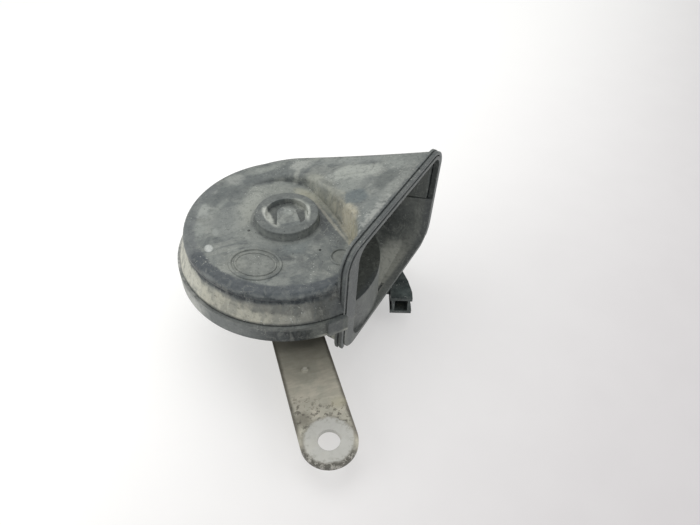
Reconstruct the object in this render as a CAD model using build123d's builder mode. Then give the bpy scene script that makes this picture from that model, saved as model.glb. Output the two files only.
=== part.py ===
"""Snail-trumpet electric car horn on a flat steel mounting strip.

Origin: centre of the strip's mounting hole, on the strip's underside. +Z points from the strip to the horn,
-Y from the horn to the hole's rounded end. Sizes are millimetres, angles are degrees.
Heights inside the horn are counted from the lower edge of the trumpet's ring.
"""

from build123d import *
from math import acos, atan2, cos, degrees, hypot, radians, sin, tan
import os

os.makedirs("parts", exist_ok=True)

# ---------------------------------------------------------------- driving dimensions
# Mounting strip
strip_width = 21.8
strip_thickness = 2.0
strip_bearing = 17.7
strip_pad_radius = 14.1
hole_radius = 4.25
hole_to_horn = 73.0
hole_bearing = 15.2
pip_radius = 1.4
pip_height = 0.9
pip_draft = 20.0
pip_x = -11.0
pip_y = 30.6

# Trumpet body
ring_radius = 45.0
ring_height = 7.2
pot_drop = 25.0
seam_gap = 0.5
seam_radius = 43.9
groove_radius = 40.4
bead_drop = 3.3
bead_radius = 2.3
bead_centre_radius = 38.7
face_height = 20.4
shell_wall = 2.0
plate_top = 1.8
plate_thickness = 2.5
spigot_radius = 40.2
spigot_wall = 1.8
spigot_height = 3.8
spigot_clearance = 0.3
ring_edge = 1.2
ring_wall = 2.0
channel_depth = 5.0
latch_width = 8.0
latch_proud = 0.8
latch_bearing = -62.0

# Hub in the middle of the upper shell
hub_radius = 12.9
hub_height = 3.8
hub_edge = 0.4
hub_draft = 6.0
hub_groove_radius = 8.5
hub_groove_height = 1.6
boss_radius = 3.0
boss_height = 3.9
boss_edge = 0.4
boss_draft = 10.0
dimple_radius = 1.5
dimple_depth = 0.5
tongue_bearing = -78.0
tongue_round = 3.8
tongue_width = 9.8
tongue_side_angle = 82.5
tongue_height = 3.65

# Mouth: a rounded four-sided opening in an upright plane
mouth_bearing = -29.2
mouth_reach = 38.7
mouth_rise = 11.1
mouth_top_front = -17.0
mouth_top_back = 61.9
mouth_low_front = (-21.1, -17.9)
mouth_low_back = (56.6, -15.4)
corner_top_front = 8.0
corner_top_back = 7.0
corner_low_back = 10.0
corner_low_front = 8.0
rim_wall = 1.6
rim_depth = 2.4
rim_front_face = 7.0
rim_gap = 0.4
bell_length = 60.0
bell_taper = 23.5
flange_wall = 1.5
flange_depth = 1.3
ridge_wall = 1.0
ridge_depth = 1.1
ridge_setback = 2.2
flange_low_end = -13.5
flange_root = 3.4
flange_setback = 0.3
leg_clearance = 0.4

# Hood over the duct and the bell
roof_over_mouth = 1.2
roof_slope = 10.3
hood_draft = 13.5
hood_start_bearing = 178.0
hood_start_inset = 2.2
riser_draft = 15.0
riser_points = [
    (176.0, 29.3, 0.4),
    (138.0, 26.7, 0.6),
    (100.0, 25.4, 0.8),
    (74.0, 22.4, 1.0),
    (46.0, 18.4, 1.0),
    (25.0, 18.0, 1.0),
    (2.0, 20.2, 1.0),
    (-18.0, 25.6, 1.0),
    (-40.0, 34.2, 0.4),
    (-64.9, 54.8, 0.2),
]
ramp_bearing = 186.0
ramp_radius = 30.0
ramp_slope = 14.0
ramp_direction = 0.0
hood_back_base = 60.8
hood_back_top = 62.8
hood_margin = 1.3
mouth_overrun = 5.0
hood_over_mouth = 1.3
hood_length = 100.0
hood_outer_edge = 2.5
hood_riser_edge = 2.0

# Bell scoop under the hood
scoop_margin = 0.7
scoop_wall = 2.0
scoop_draft = 2.0
scoop_length = 75.0
scoop_floor = -17.0
scoop_slope = 22.0
drain_length = 15.0
drain_width = 1.3
drain_setback = 4.0
drain_position = 12.0

# Sound duct
duct_wall = 1.8
duct_floor_gap = 0.3
duct_opening_start = -68.0
inlet_radius = 9.0

# Pot skirt on the lower shell
skirt_clearance = 0.4
skirt_wall = 1.6
hook_reach = 1.1
hook_height = 1.2
hook_width = 9.0
hook_bearings = (100.0, 220.0, 340.0)

# Drive unit
clamp_radius = 35.3
clamp_lip = 3.9
clamp_sheet = 0.8
trumpet_gasket_thickness = 0.8
diaphragm_thickness = 0.4
diaphragm_wave = 0.5
diaphragm_wave_start = 14.0
diaphragm_wave_end = 19.0
diaphragm_gasket_thickness = 0.5
pot_sheet = 0.9
pot_body_gap = 0.4
pot_step_depth = 14.0
pot_step_width = 7.0
pot_corner = 1.5
shank_radius = 3.9
core_radius = 7.0
core_recess = 2.6
air_gap = 1.0
armature_radius = 6.6
armature_collar_radius = 9.5
armature_collar = 1.2
armature_pin_radius = 2.4
armature_washer_radius = 7.5
armature_washer_thickness = 1.0
armature_head_height = 0.7
armature_head_radius = 3.3
bobbin_tube_wall = 1.0
bobbin_room = 5.8
bobbin_flange = 1.2
bobbin_gap = 0.7
winding_gap = 0.15
winding_recess = 1.6

# Contact breaker on the pot's step
breaker_bearing = 180.0
breaker_inset = 4.7
base_depth = 5.0
rivet_radius = 1.1
rivet_spacing = 6.4
rivet_head_radius = 1.9
rivet_head = 0.8
base_width = 11.0
low_insulator = 3.3
middle_insulator = 1.4
top_insulator = 0.8
arm_thickness = 0.6
arm_width = 5.0
arm_overlap = 1.0
fixed_arm_end = 13.0
moving_arm_end = 8.5
contact_radius = 1.7
contact_from_axis = 15.0
arm_lift = 2.0
arm_lift_start = 12.5
arm_lift_end = 10.5
tab_overlap = 1.5
tab_margin = 4.0
tab_inner_inset = 6.8
tab_outer_inset = 2.2
screw_radius = 1.6
screw_head_radius = 2.5
screw_head_height = 2.2
screw_bearing = 205.0
screw_inset = 4.0
resistor_width = 3.6
resistor_length = 10.0
resistor_bearing = 100.0
resistor_inset = 4.4

# Stud hardware
nut_across_flats = 13.0
nut_height = 6.5
nut_chamfer = 0.8
washer_radius = 7.0
washer_thickness = 2.0
washer_split = 1.2
stud_end = 1.5

# Connector
socket_axis_x = 48.5
socket_front_y = -4.3
socket_top = -20.2
socket_height = 9.8
socket_lip_width = 9.6
socket_body_width = 7.9
socket_lip_thickness = 1.9
socket_length = 17.8
socket_room_width = 5.7
socket_room_height = 6.6
socket_depth = 9.3
collar_length = 4.0
taper_step = 1.5
taper_length = 11.0
tail_step = 4.0
link_low_y = 6.0
link_width = 9.5
link_start_x = 15.2
link_base_thickness = 3.0
link_step_x = 27.0
link_top = -21.5
link_low = -29.0
blade_width = 3.2
blade_thickness = 0.8
blade_recess = 5.2
blade_spacing = 3.4
blade_end_x = 28.5
connector_rivet_x = 18.2
connector_rivet_y = 9.5

# Clearance between round parts that sit in one another
fit_clearance = 0.3

# ---------------------------------------------------------------- levels and planes
horn_x = -hole_to_horn * sin(radians(hole_bearing))
horn_y = hole_to_horn * cos(radians(hole_bearing))
ring_base = strip_thickness + pot_drop
horn_axis = Axis((horn_x, horn_y, 0), (0, 0, 1))
mouth_across = (cos(radians(mouth_bearing)), sin(radians(mouth_bearing)))
mouth_along = (-mouth_across[1], mouth_across[0])
seam_height = ring_height + seam_gap
groove_height = face_height - bead_drop
mouth_top = face_height + mouth_rise
roof_mouth_height = mouth_top + roof_over_mouth
hood_top = roof_mouth_height + hood_margin
channel_radius = ring_radius - ring_wall
skirt_radius = clamp_radius + skirt_clearance
scoop_inner_radius = skirt_radius + skirt_wall + scoop_margin
clamp_inner_radius = clamp_radius - clamp_lip
pot_body_radius = clamp_inner_radius - pot_body_gap
pot_core_radius = pot_body_radius - pot_step_width
bobbin_radius = pot_core_radius - bobbin_room
winding_radius = bobbin_radius - winding_recess
breaker_radius = pot_body_radius - breaker_inset
tab_inner_radius = pot_body_radius - tab_inner_inset
tab_outer_radius = pot_body_radius - tab_outer_inset
screw_from_axis = pot_body_radius - screw_inset
resistor_from_axis = pot_body_radius - resistor_inset
seat_height = ring_height + spigot_height
plate_under = plate_top - plate_thickness
clamp_top = plate_under - trumpet_gasket_thickness
diaphragm_top = clamp_top - clamp_sheet
pot_flange_top = diaphragm_top - diaphragm_thickness - diaphragm_gasket_thickness
clamp_low = pot_flange_top - pot_sheet - clamp_sheet
pot_inner_floor = -pot_drop + pot_sheet
step_floor = -pot_step_depth + pot_sheet
fixed_arm_low = step_floor + low_insulator
bobbin_height = fixed_arm_low - bobbin_gap - pot_inner_floor
core_length = bobbin_height - core_recess
skirt_low = clamp_low - hook_height
flange_edge_radius = clamp_radius - clamp_sheet - fit_clearance


def level(height):
    """Horizontal plane on the horn's axis, at a height above the ring's lower edge."""
    return Plane(origin=(horn_x, horn_y, ring_base + height))


radial = Plane(origin=(horn_x, horn_y, ring_base), x_dir=(1, 0, 0), z_dir=(0, -1, 0))
mouth_plane = Plane(
    origin=(horn_x + mouth_reach * mouth_across[0], horn_y + mouth_reach * mouth_across[1], ring_base),
    x_dir=(mouth_along[0], mouth_along[1], 0),
    z_dir=(mouth_across[0], mouth_across[1], 0),
)


def polar(bearing, radius):
    """Point at a bearing and a distance from the horn's axis."""
    return (radius * cos(radians(bearing)), radius * sin(radians(bearing)))


def mouth_point(along, beyond):
    """Point beside the mouth's plane: a distance along it, and one beyond it."""
    out = mouth_reach + beyond
    return (out * mouth_across[0] + along * mouth_along[0], out * mouth_across[1] + along * mouth_along[1])


def sloped_plane(height, slope):
    """Plane that passes the mouth at a height and rises towards it by a slope."""
    rise = tan(radians(slope))
    foot = mouth_point(0, 0)
    origin = (horn_x + foot[0], horn_y + foot[1], ring_base + height)
    return Plane(origin=origin, z_dir=(-rise * mouth_across[0], -rise * mouth_across[1], 1))


def ramp():
    """Plane that lets the hood rise out of the flat face at its left end."""
    foot = polar(ramp_bearing, ramp_radius)
    lean = polar(ramp_direction, sin(radians(ramp_slope)))
    origin = (horn_x + foot[0], horn_y + foot[1], ring_base + face_height)
    return Plane(origin=origin, z_dir=(-lean[0], -lean[1], cos(radians(ramp_slope))))


def tangent_bearing(point, radius):
    """Bearing at which a line from an outer point touches the left side of a circle round the axis."""
    return degrees(atan2(point[1], point[0]) + acos(radius / hypot(*point)))


def hood_sketch(height, inset):
    """Plan of the hood at a height, moved inwards by an inset."""
    radius = seam_radius - (height - seam_height) * tan(radians(hood_draft)) - inset
    share = (height - seam_height) / (hood_top - seam_height)
    back = mouth_point(hood_back_base + share * (hood_back_top - hood_back_base) - inset, mouth_overrun)
    shift = (height - face_height) * tan(radians(riser_draft)) + inset
    touch = tangent_bearing(back, radius)
    start = polar(hood_start_bearing, radius - hood_start_inset)
    middle = polar((hood_start_bearing + touch) / 2, radius - hood_start_inset / 4)
    edge = [polar(bearing, distance + shift * share) for bearing, distance, share in riser_points]
    with BuildSketch(level(height)) as sketch:
        with BuildLine():
            ThreePointArc(start, middle, polar(touch, radius))
            Polyline(polar(touch, radius), back, edge[-1], edge[-2])
            Spline(*edge[:-1])
            Line(edge[0], start)
        make_face()
    return sketch.sketch


def roof_edges(hood):
    """Curved edges of the hood's roof, first those of its riser and last the outer ones."""
    roof = hood.faces().filter_by(GeomType.PLANE).sort_by(SortBy.AREA)[-2]
    return roof.edges().filter_by(GeomType.BSPLINE).sort_by(Axis.Y)


def body_sketch(height, radius, back_along, beyond):
    """Plan of the trumpet at a height: a disc with a straight back wall that runs to the mouth."""
    back = mouth_point(back_along, beyond)
    front = mouth_point(mouth_low_front[0], beyond)
    with BuildSketch(level(height)) as sketch:
        Circle(radius)
        with BuildLine():
            Polyline((0, 0), polar(tangent_bearing(back, radius), radius), back, front, close=True)
        make_face()
    return sketch.sketch


def mouth_sketch(depth, grow, front_inset=0, back_inset=0):
    """Rounded outline of the mouth, at a depth behind its plane, grown by a margin."""
    corners = [
        ((mouth_top_front + front_inset, mouth_top), corner_top_front),
        ((mouth_top_back - back_inset, mouth_top), corner_top_back),
        ((mouth_low_back[0] - back_inset, mouth_low_back[1]), corner_low_back),
        ((mouth_low_front[0] + front_inset, mouth_low_front[1]), corner_low_front),
    ]
    with BuildSketch(mouth_plane.offset(-depth)) as sketch:
        with BuildLine():
            Polyline(*[point for point, _ in corners], close=True)
        make_face()
        for point, radius in corners:
            fillet(sketch.vertices().sort_by_distance(Vector(*point))[0], radius)
        if grow:
            offset(amount=grow, kind=Kind.ARC)
    return sketch.sketch


inward = (-mouth_across[0], -mouth_across[1], 0)

# ---------------------------------------------------------------- upper shell
face_under = face_height - shell_wall
seat_inner = spigot_radius - spigot_wall
skirt_inner = spigot_radius + spigot_clearance

# Depths in and out of the mouth plane, measured from it
passage_length = mouth_overrun + rim_depth + rim_gap
flange_over_mouth = rim_gap + flange_wall
ridge_over_mouth = flange_over_mouth + ridge_wall / 4
room_over_mouth = hood_over_mouth - shell_wall

with BuildPart() as hood:
    loft([hood_sketch(seam_height, 0), hood_sketch(hood_top, 0)], ruled=True)
    split(bisect_by=sloped_plane(roof_mouth_height, roof_slope), keep=Keep.BOTTOM)
    split(bisect_by=ramp(), keep=Keep.BOTTOM)
    mouth = mouth_sketch(-mouth_overrun, hood_over_mouth)
    extrude(mouth, amount=hood_length, dir=inward, mode=Mode.INTERSECT)
    fillet(roof_edges(hood)[:2], hood_riser_edge)
    fillet(roof_edges(hood)[-2:], hood_outer_edge)

with BuildPart() as hood_room:
    loft([hood_sketch(seam_height, shell_wall), hood_sketch(hood_top, shell_wall)], ruled=True)
    split(bisect_by=sloped_plane(roof_mouth_height - shell_wall, roof_slope), keep=Keep.BOTTOM)
    mouth = mouth_sketch(-mouth_overrun, room_over_mouth)
    extrude(mouth, amount=hood_length, dir=inward, mode=Mode.INTERSECT)

with BuildPart() as flange:
    extrude(mouth_sketch(flange_setback, flange_over_mouth), amount=flange_depth, dir=inward)
    extrude(mouth_sketch(flange_setback, rim_gap + ridge_wall), amount=flange_root, dir=inward)
    extrude(mouth_sketch(ridge_setback, ridge_over_mouth), amount=ridge_depth, dir=inward)
    extrude(mouth_sketch(0, rim_gap), amount=flange_root * 2, dir=inward, mode=Mode.SUBTRACT)
    split(bisect_by=level(flange_low_end), keep=Keep.TOP)

with BuildPart() as shoulder:
    # Wall behind the flange that joins it to the hood
    shoulder_depth = rim_depth + rim_gap
    shoulder_length = flange_root + flange_setback - shoulder_depth
    extrude(mouth_sketch(shoulder_depth, rim_gap + ridge_wall), amount=shoulder_length, dir=inward)
    passage = mouth_sketch(shoulder_depth, -corner_top_back / 2)
    extrude(passage, amount=shoulder_length, dir=inward, mode=Mode.SUBTRACT)
    split(bisect_by=level(seam_height), keep=Keep.TOP)
    add(hood_room.part, mode=Mode.SUBTRACT)

with BuildPart() as duct_band:
    # Spiral wall from the inlet chamber to the mouth, along the hood's inner side
    with BuildSketch(level(plate_top + duct_floor_gap)):
        edge = [polar(bearing, distance) for bearing, distance, _ in riser_points[:-1]]
        with BuildLine():
            wrap = 360 + duct_opening_start - riser_points[0][0]
            CenterArc((0, 0), riser_points[0][1], riser_points[0][0], wrap)
            Spline(*edge)
        trace(line_width=2 * duct_wall)
        Circle(seat_inner, mode=Mode.INTERSECT)
    extrude(amount=face_under - plate_top)
    mouth = mouth_sketch(-mouth_overrun, 0)
    extrude(mouth, amount=passage_length, dir=inward, mode=Mode.SUBTRACT)

with BuildPart() as upper_shell:
    # Skirt, bead and flat face, with the hub's ring, groove, boss and dimple
    hub_lean = (hub_height - hub_edge) * tan(radians(hub_draft))
    hub_corner = (hub_radius - hub_lean, face_height + hub_height - hub_edge)
    boss_foot = boss_radius + (boss_height - hub_groove_height) * tan(radians(boss_draft))
    bead_low = polar(-20, bead_radius)
    bead_side = polar(35, bead_radius)
    bead_level = face_height - bead_radius
    boss_top = face_height + boss_height
    groove_floor = face_height + hub_groove_height
    hub_top = face_height + hub_height
    groove_lean = (hub_height - hub_groove_height) * tan(radians(hub_draft))
    with BuildSketch(radial):
        with BuildLine():
            low_end = (bead_centre_radius + bead_low[0], bead_level + bead_low[1])
            Polyline((0, seam_height), (seam_radius, seam_height), (groove_radius, groove_height), low_end)
            bead_middle = (bead_centre_radius + bead_side[0], bead_level + bead_side[1])
            ThreePointArc(low_end, bead_middle, (bead_centre_radius, face_height))
            Polyline((bead_centre_radius, face_height), (hub_radius, face_height), hub_corner)
            hub_flat = (hub_corner[0] - hub_edge, hub_top)
            RadiusArc(hub_corner, hub_flat, -hub_edge)
            groove_side = (hub_groove_radius - groove_lean, groove_floor)
            Polyline(hub_flat, (hub_groove_radius, hub_top), groove_side, (boss_foot, groove_floor))
            boss_side = (boss_radius, boss_top - boss_edge)
            boss_flat = (boss_radius - boss_edge, boss_top)
            Line((boss_foot, groove_floor), boss_side)
            RadiusArc(boss_side, boss_flat, -boss_edge)
            Polyline(boss_flat, (dimple_radius, boss_top), (0, boss_top - dimple_depth), (0, seam_height))
        make_face()
    revolve(axis=horn_axis)
    add(hood.part)
    with BuildSketch(level(seam_height)):
        Circle(skirt_inner)
    extrude(amount=seat_height - seam_height, mode=Mode.SUBTRACT)
    with BuildSketch(level(seam_height)):
        Circle(seat_inner)
    extrude(amount=face_under - seam_height, mode=Mode.SUBTRACT)
    add(hood_room.part, mode=Mode.SUBTRACT)
    split(bisect_by=mouth_plane.offset(-flange_setback), keep=Keep.BOTTOM)
    extrude(mouth_sketch(0, rim_gap), amount=rim_depth + rim_gap, dir=inward, mode=Mode.SUBTRACT)
    add(flange.part)
    add(shoulder.part)
    add(duct_band.part)
    with BuildSketch(level(face_height)):
        Circle(tongue_round)
        with Locations(polar(tongue_bearing, hub_groove_radius / 2)):
            Trapezoid(tongue_width, hub_groove_radius, tongue_side_angle, rotation=90 + tongue_bearing)
        Circle(dimple_radius, mode=Mode.SUBTRACT)
    extrude(amount=tongue_height)

upper_shell.part.label = "upper_shell"
export_step(upper_shell.part, "parts/upper_shell.step")

# ---------------------------------------------------------------- lower shell
rim_back = hood_back_base + ring_radius - seam_radius
spigot_back = hood_back_base - shell_wall - spigot_clearance
room_back = spigot_back - spigot_wall
leg_room = rim_gap + flange_wall + ridge_wall / 4 + leg_clearance
rim_room_inset = rim_front_face - rim_wall

with BuildPart() as scoop:
    extrude(mouth_sketch(0, 0), amount=scoop_length, dir=inward, taper=scoop_draft)
    scoop_low = scoop_floor - 2 * scoop_wall
    extrude(
        body_sketch(scoop_low, seat_inner + scoop_wall, rim_back, mouth_overrun),
        amount=ring_height - scoop_low,
        mode=Mode.INTERSECT,
    )
    split(bisect_by=sloped_plane(scoop_floor - scoop_wall, -scoop_slope), keep=Keep.TOP)

with BuildPart() as scoop_room:
    near = mouth_sketch(0, -rim_wall, rim_room_inset)
    far = mouth_sketch(bell_length, -rim_wall, rim_room_inset, bell_length * tan(radians(bell_taper)))
    loft([near, far])
    split(bisect_by=sloped_plane(scoop_floor, -scoop_slope), keep=Keep.TOP)
    with BuildSketch(level(scoop_low)):
        Circle(scoop_inner_radius)
    extrude(amount=plate_top - scoop_low, mode=Mode.SUBTRACT)

with BuildPart() as lower_shell:
    # Ring and the spigot that enters the upper shell
    extrude(body_sketch(0, ring_radius, rim_back, mouth_overrun), amount=ring_height)
    fillet(lower_shell.edges().filter_by(GeomType.CIRCLE).sort_by(SortBy.RADIUS)[-2:], ring_edge)
    extrude(body_sketch(ring_height, spigot_radius, spigot_back, mouth_overrun), amount=spigot_height)
    with BuildSketch(level(0)):
        Circle(channel_radius)
        Circle(skirt_radius + skirt_wall, mode=Mode.SUBTRACT)
    extrude(amount=channel_depth, mode=Mode.SUBTRACT)
    extrude(mouth_sketch(0, leg_room), amount=flange_root + leg_clearance, dir=inward, mode=Mode.SUBTRACT)
    add(scoop.part)
    seat_room = body_sketch(plate_top, seat_inner, room_back, mouth_overrun)
    extrude(seat_room, amount=seat_height, mode=Mode.SUBTRACT)
    add(scoop_room.part, mode=Mode.SUBTRACT)
    extrude(mouth_sketch(0, 0) - mouth_sketch(0, -rim_wall, rim_room_inset), amount=rim_depth, dir=inward)
    split(bisect_by=mouth_plane, keep=Keep.BOTTOM)
    # Recess for the drive unit, its skirt and hooks, the plate over it and the sound inlet
    with BuildSketch(level(plate_under)):
        Circle(skirt_radius)
    extrude(amount=scoop_low - plate_under, mode=Mode.SUBTRACT)
    with BuildSketch(level(plate_under)):
        Circle(skirt_radius + skirt_wall)
    extrude(amount=plate_thickness - plate_top)
    with BuildSketch(level(skirt_low)):
        Circle(skirt_radius + skirt_wall)
        Circle(skirt_radius, mode=Mode.SUBTRACT)
    extrude(amount=-skirt_low)
    with BuildSketch(level(skirt_low)):
        with PolarLocations(skirt_radius - hook_reach / 2, len(hook_bearings), hook_bearings[0]):
            Rectangle(hook_reach + skirt_wall, hook_width)
    extrude(amount=hook_height)
    with BuildSketch(level(plate_under)):
        Circle(inlet_radius)
    extrude(amount=plate_thickness, mode=Mode.SUBTRACT)
    # Latch block on the ring, and the drain slot behind the lip
    with BuildSketch(level(0)):
        with Locations(polar(latch_bearing, ring_radius)):
            Rectangle(2 * latch_proud, latch_width, rotation=latch_bearing)
    extrude(amount=ring_height)
    with BuildSketch(level(scoop_low)):
        with Locations(mouth_point(drain_position, -drain_setback)):
            Rectangle(drain_width, drain_length, rotation=mouth_bearing)
    extrude(amount=-scoop_low - scoop_wall, mode=Mode.SUBTRACT)

lower_shell.part.label = "lower_shell"
export_step(lower_shell.part, "parts/lower_shell.step")

# ---------------------------------------------------------------- drive unit
with BuildPart() as trumpet_gasket:
    with BuildSketch(level(clamp_top)):
        Circle(flange_edge_radius + fit_clearance)
        Circle(clamp_inner_radius, mode=Mode.SUBTRACT)
    extrude(amount=trumpet_gasket_thickness)

trumpet_gasket.part.label = "trumpet_gasket"
export_step(trumpet_gasket.part, "parts/trumpet_gasket.step")

with BuildPart() as clamp_ring:
    with BuildSketch(level(clamp_low)):
        Circle(clamp_radius)
        Circle(clamp_inner_radius, mode=Mode.SUBTRACT)
    extrude(amount=clamp_top - clamp_low)
    with BuildSketch(level(clamp_low + clamp_sheet)):
        Circle(clamp_radius - clamp_sheet)
    extrude(amount=diaphragm_top - clamp_low - clamp_sheet, mode=Mode.SUBTRACT)

clamp_ring.part.label = "clamp_ring"
export_step(clamp_ring.part, "parts/clamp_ring.step")

with BuildPart() as diaphragm:
    diaphragm_low = diaphragm_top - diaphragm_thickness
    wave_mid = (diaphragm_wave_start + diaphragm_wave_end) / 2
    with BuildSketch(radial):
        with BuildLine():
            pin_hole = armature_pin_radius + fit_clearance
            top_in = Line((pin_hole, diaphragm_top), (diaphragm_wave_start, diaphragm_top))
            wave_top = (diaphragm_wave_end, diaphragm_top)
            ThreePointArc(top_in @ 1, (wave_mid, diaphragm_top + diaphragm_wave), wave_top)
            Polyline(wave_top, (flange_edge_radius, diaphragm_top), (flange_edge_radius, diaphragm_low))
            wave_low = (diaphragm_wave_end, diaphragm_low)
            Line((flange_edge_radius, diaphragm_low), wave_low)
            low_in = (diaphragm_wave_start, diaphragm_low)
            ThreePointArc(wave_low, (wave_mid, diaphragm_low + diaphragm_wave), low_in)
            Polyline(low_in, (pin_hole, diaphragm_low), top_in @ 0)
        make_face()
    revolve(axis=horn_axis)

diaphragm.part.label = "diaphragm"
export_step(diaphragm.part, "parts/diaphragm.step")

with BuildPart() as diaphragm_gasket:
    with BuildSketch(level(pot_flange_top)):
        Circle(flange_edge_radius)
        Circle(clamp_inner_radius, mode=Mode.SUBTRACT)
    extrude(amount=diaphragm_gasket_thickness)

diaphragm_gasket.part.label = "diaphragm_gasket"
export_step(diaphragm_gasket.part, "parts/diaphragm_gasket.step")

with BuildPart() as pot:
    pot_outline = [
        (shank_radius + fit_clearance, -pot_drop),
        (pot_core_radius, -pot_drop),
        (pot_core_radius, -pot_step_depth),
        (pot_body_radius, -pot_step_depth),
        (pot_body_radius, pot_flange_top - pot_sheet),
        (flange_edge_radius, pot_flange_top - pot_sheet),
        (flange_edge_radius, pot_flange_top),
        (pot_body_radius - pot_sheet, pot_flange_top),
        (pot_body_radius - pot_sheet, step_floor),
        (pot_core_radius - pot_sheet, step_floor),
        (pot_core_radius - pot_sheet, pot_inner_floor),
        (shank_radius + fit_clearance, pot_inner_floor),
    ]
    with BuildSketch(radial) as pot_section:
        with BuildLine():
            Polyline(*pot_outline, close=True)
        make_face()
        for point in (pot_outline[1], pot_outline[3]):
            fillet(pot_section.vertices().sort_by_distance(Vector(*point))[0], pot_corner)
        for point in (pot_outline[8], pot_outline[10]):
            fillet(pot_section.vertices().sort_by_distance(Vector(*point))[0], pot_corner - pot_sheet)
    revolve(axis=horn_axis)
    with BuildSketch(level(-pot_step_depth)):
        with Locations(polar(breaker_bearing, breaker_radius)):
            with GridLocations(0, rivet_spacing, 1, 2):
                Circle(rivet_radius + fit_clearance)
        with Locations(polar(screw_bearing, screw_from_axis)):
            Circle(screw_radius + fit_clearance)
    extrude(amount=pot_sheet, mode=Mode.SUBTRACT)
    with BuildSketch(level(-pot_drop)):
        with Locations((connector_rivet_x, connector_rivet_y)):
            Circle(rivet_radius + fit_clearance)
    extrude(amount=pot_sheet, mode=Mode.SUBTRACT)

pot.part.label = "pot"
export_step(pot.part, "parts/pot.step")

with BuildPart() as pole_core:
    with BuildSketch(level(pot_inner_floor)):
        Circle(core_radius)
    extrude(amount=core_length)
    with BuildSketch(Plane.XY.offset(-washer_thickness - nut_height - stud_end)):
        with Locations((horn_x, horn_y)):
            Circle(shank_radius)
    extrude(amount=washer_thickness + nut_height + stud_end + strip_thickness + pot_sheet)

pole_core.part.label = "pole_core"
export_step(pole_core.part, "parts/pole_core.step")

with BuildPart() as armature:
    plunger_low = pot_inner_floor + core_length + air_gap
    collar_top = diaphragm_top - diaphragm_thickness
    pin_top = diaphragm_top + armature_washer_thickness
    with BuildSketch(level(plunger_low)):
        Circle(armature_radius)
    extrude(amount=collar_top - plunger_low)
    with BuildSketch(level(collar_top - armature_collar)):
        Circle(armature_collar_radius)
    extrude(amount=armature_collar)
    with BuildSketch(level(collar_top)):
        Circle(armature_pin_radius)
    extrude(amount=pin_top - collar_top)
    with BuildSketch(level(pin_top)):
        Circle(armature_head_radius)
    extrude(amount=armature_head_height)

armature.part.label = "armature"
export_step(armature.part, "parts/armature.step")

with BuildPart() as armature_washer:
    with BuildSketch(level(diaphragm_top)):
        Circle(armature_washer_radius)
        Circle(armature_pin_radius + fit_clearance, mode=Mode.SUBTRACT)
    extrude(amount=armature_washer_thickness)

armature_washer.part.label = "armature_washer"
export_step(armature_washer.part, "parts/armature_washer.step")

bore_radius = core_radius + fit_clearance
tube_radius = bore_radius + bobbin_tube_wall

with BuildPart() as coil_bobbin:
    with BuildSketch(level(pot_inner_floor)):
        Circle(bobbin_radius)
        Circle(bore_radius, mode=Mode.SUBTRACT)
    extrude(amount=bobbin_height)
    with BuildSketch(level(pot_inner_floor + bobbin_flange)):
        Circle(bobbin_radius)
        Circle(tube_radius, mode=Mode.SUBTRACT)
    extrude(amount=bobbin_height - 2 * bobbin_flange, mode=Mode.SUBTRACT)

coil_bobbin.part.label = "coil_bobbin"
export_step(coil_bobbin.part, "parts/coil_bobbin.step")

with BuildPart() as coil_winding:
    with BuildSketch(level(pot_inner_floor + bobbin_flange + winding_gap)):
        Circle(winding_radius)
        Circle(tube_radius + fit_clearance, mode=Mode.SUBTRACT)
    extrude(amount=bobbin_height - 2 * bobbin_flange - 2 * winding_gap)

coil_winding.part.label = "coil_winding"
export_step(coil_winding.part, "parts/coil_winding.step")

# ---------------------------------------------------------------- contact breaker
fixed_arm_top = fixed_arm_low + arm_thickness
moving_arm_low = fixed_arm_top + middle_insulator
moving_arm_top = moving_arm_low + arm_thickness
stack_top = moving_arm_top + top_insulator
contact_height = middle_insulator / 2
base_inner = breaker_radius - base_depth / 2


def stack_sketch(height):
    """Rectangular base of the breaker's stack, with its two rivet holes."""
    with BuildSketch(level(height)) as sketch:
        with Locations(polar(breaker_bearing, breaker_radius)):
            Rectangle(base_depth, base_width)
            with GridLocations(0, rivet_spacing, 1, 2):
                Circle(rivet_radius + fit_clearance, mode=Mode.SUBTRACT)
    return sketch.sketch


def rivet_sketch(height, radius):
    """Both rivets of the breaker's stack at a height."""
    with BuildSketch(level(height)) as sketch:
        with Locations(polar(breaker_bearing, breaker_radius)):
            with GridLocations(0, rivet_spacing, 1, 2):
                Circle(radius)
    return sketch.sketch


with BuildPart() as insulator_low:
    extrude(stack_sketch(step_floor), amount=low_insulator)

insulator_low.part.label = "insulator_low"
export_step(insulator_low.part, "parts/insulator_low.step")

with BuildPart() as insulator_middle:
    extrude(stack_sketch(fixed_arm_top), amount=middle_insulator)

insulator_middle.part.label = "insulator_middle"
export_step(insulator_middle.part, "parts/insulator_middle.step")

with BuildPart() as insulator_top:
    extrude(stack_sketch(moving_arm_top), amount=top_insulator)

insulator_top.part.label = "insulator_top"
export_step(insulator_top.part, "parts/insulator_top.step")

with BuildPart() as fixed_contact_arm:
    extrude(stack_sketch(fixed_arm_low), amount=arm_thickness)
    with BuildSketch(level(fixed_arm_low)):
        with Locations((-fixed_arm_end, 0)):
            Rectangle(base_inner + arm_overlap - fixed_arm_end, arm_width, align=(Align.MAX, Align.CENTER))
        with BuildLine():
            tab_start = breaker_bearing + degrees(base_width / 2 / breaker_radius) - tab_overlap
            tab_turn = screw_bearing + tab_margin - tab_start
            tab_outer = CenterArc((0, 0), tab_outer_radius, tab_start, tab_turn)
            tab_inner = CenterArc((0, 0), tab_inner_radius, tab_start, tab_turn)
            Line(tab_outer @ 0, tab_inner @ 0)
            Line(tab_outer @ 1, tab_inner @ 1)
        make_face()
    extrude(amount=arm_thickness)

fixed_contact_arm.part.label = "fixed_contact_arm"
export_step(fixed_contact_arm.part, "parts/fixed_contact_arm.step")

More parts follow.
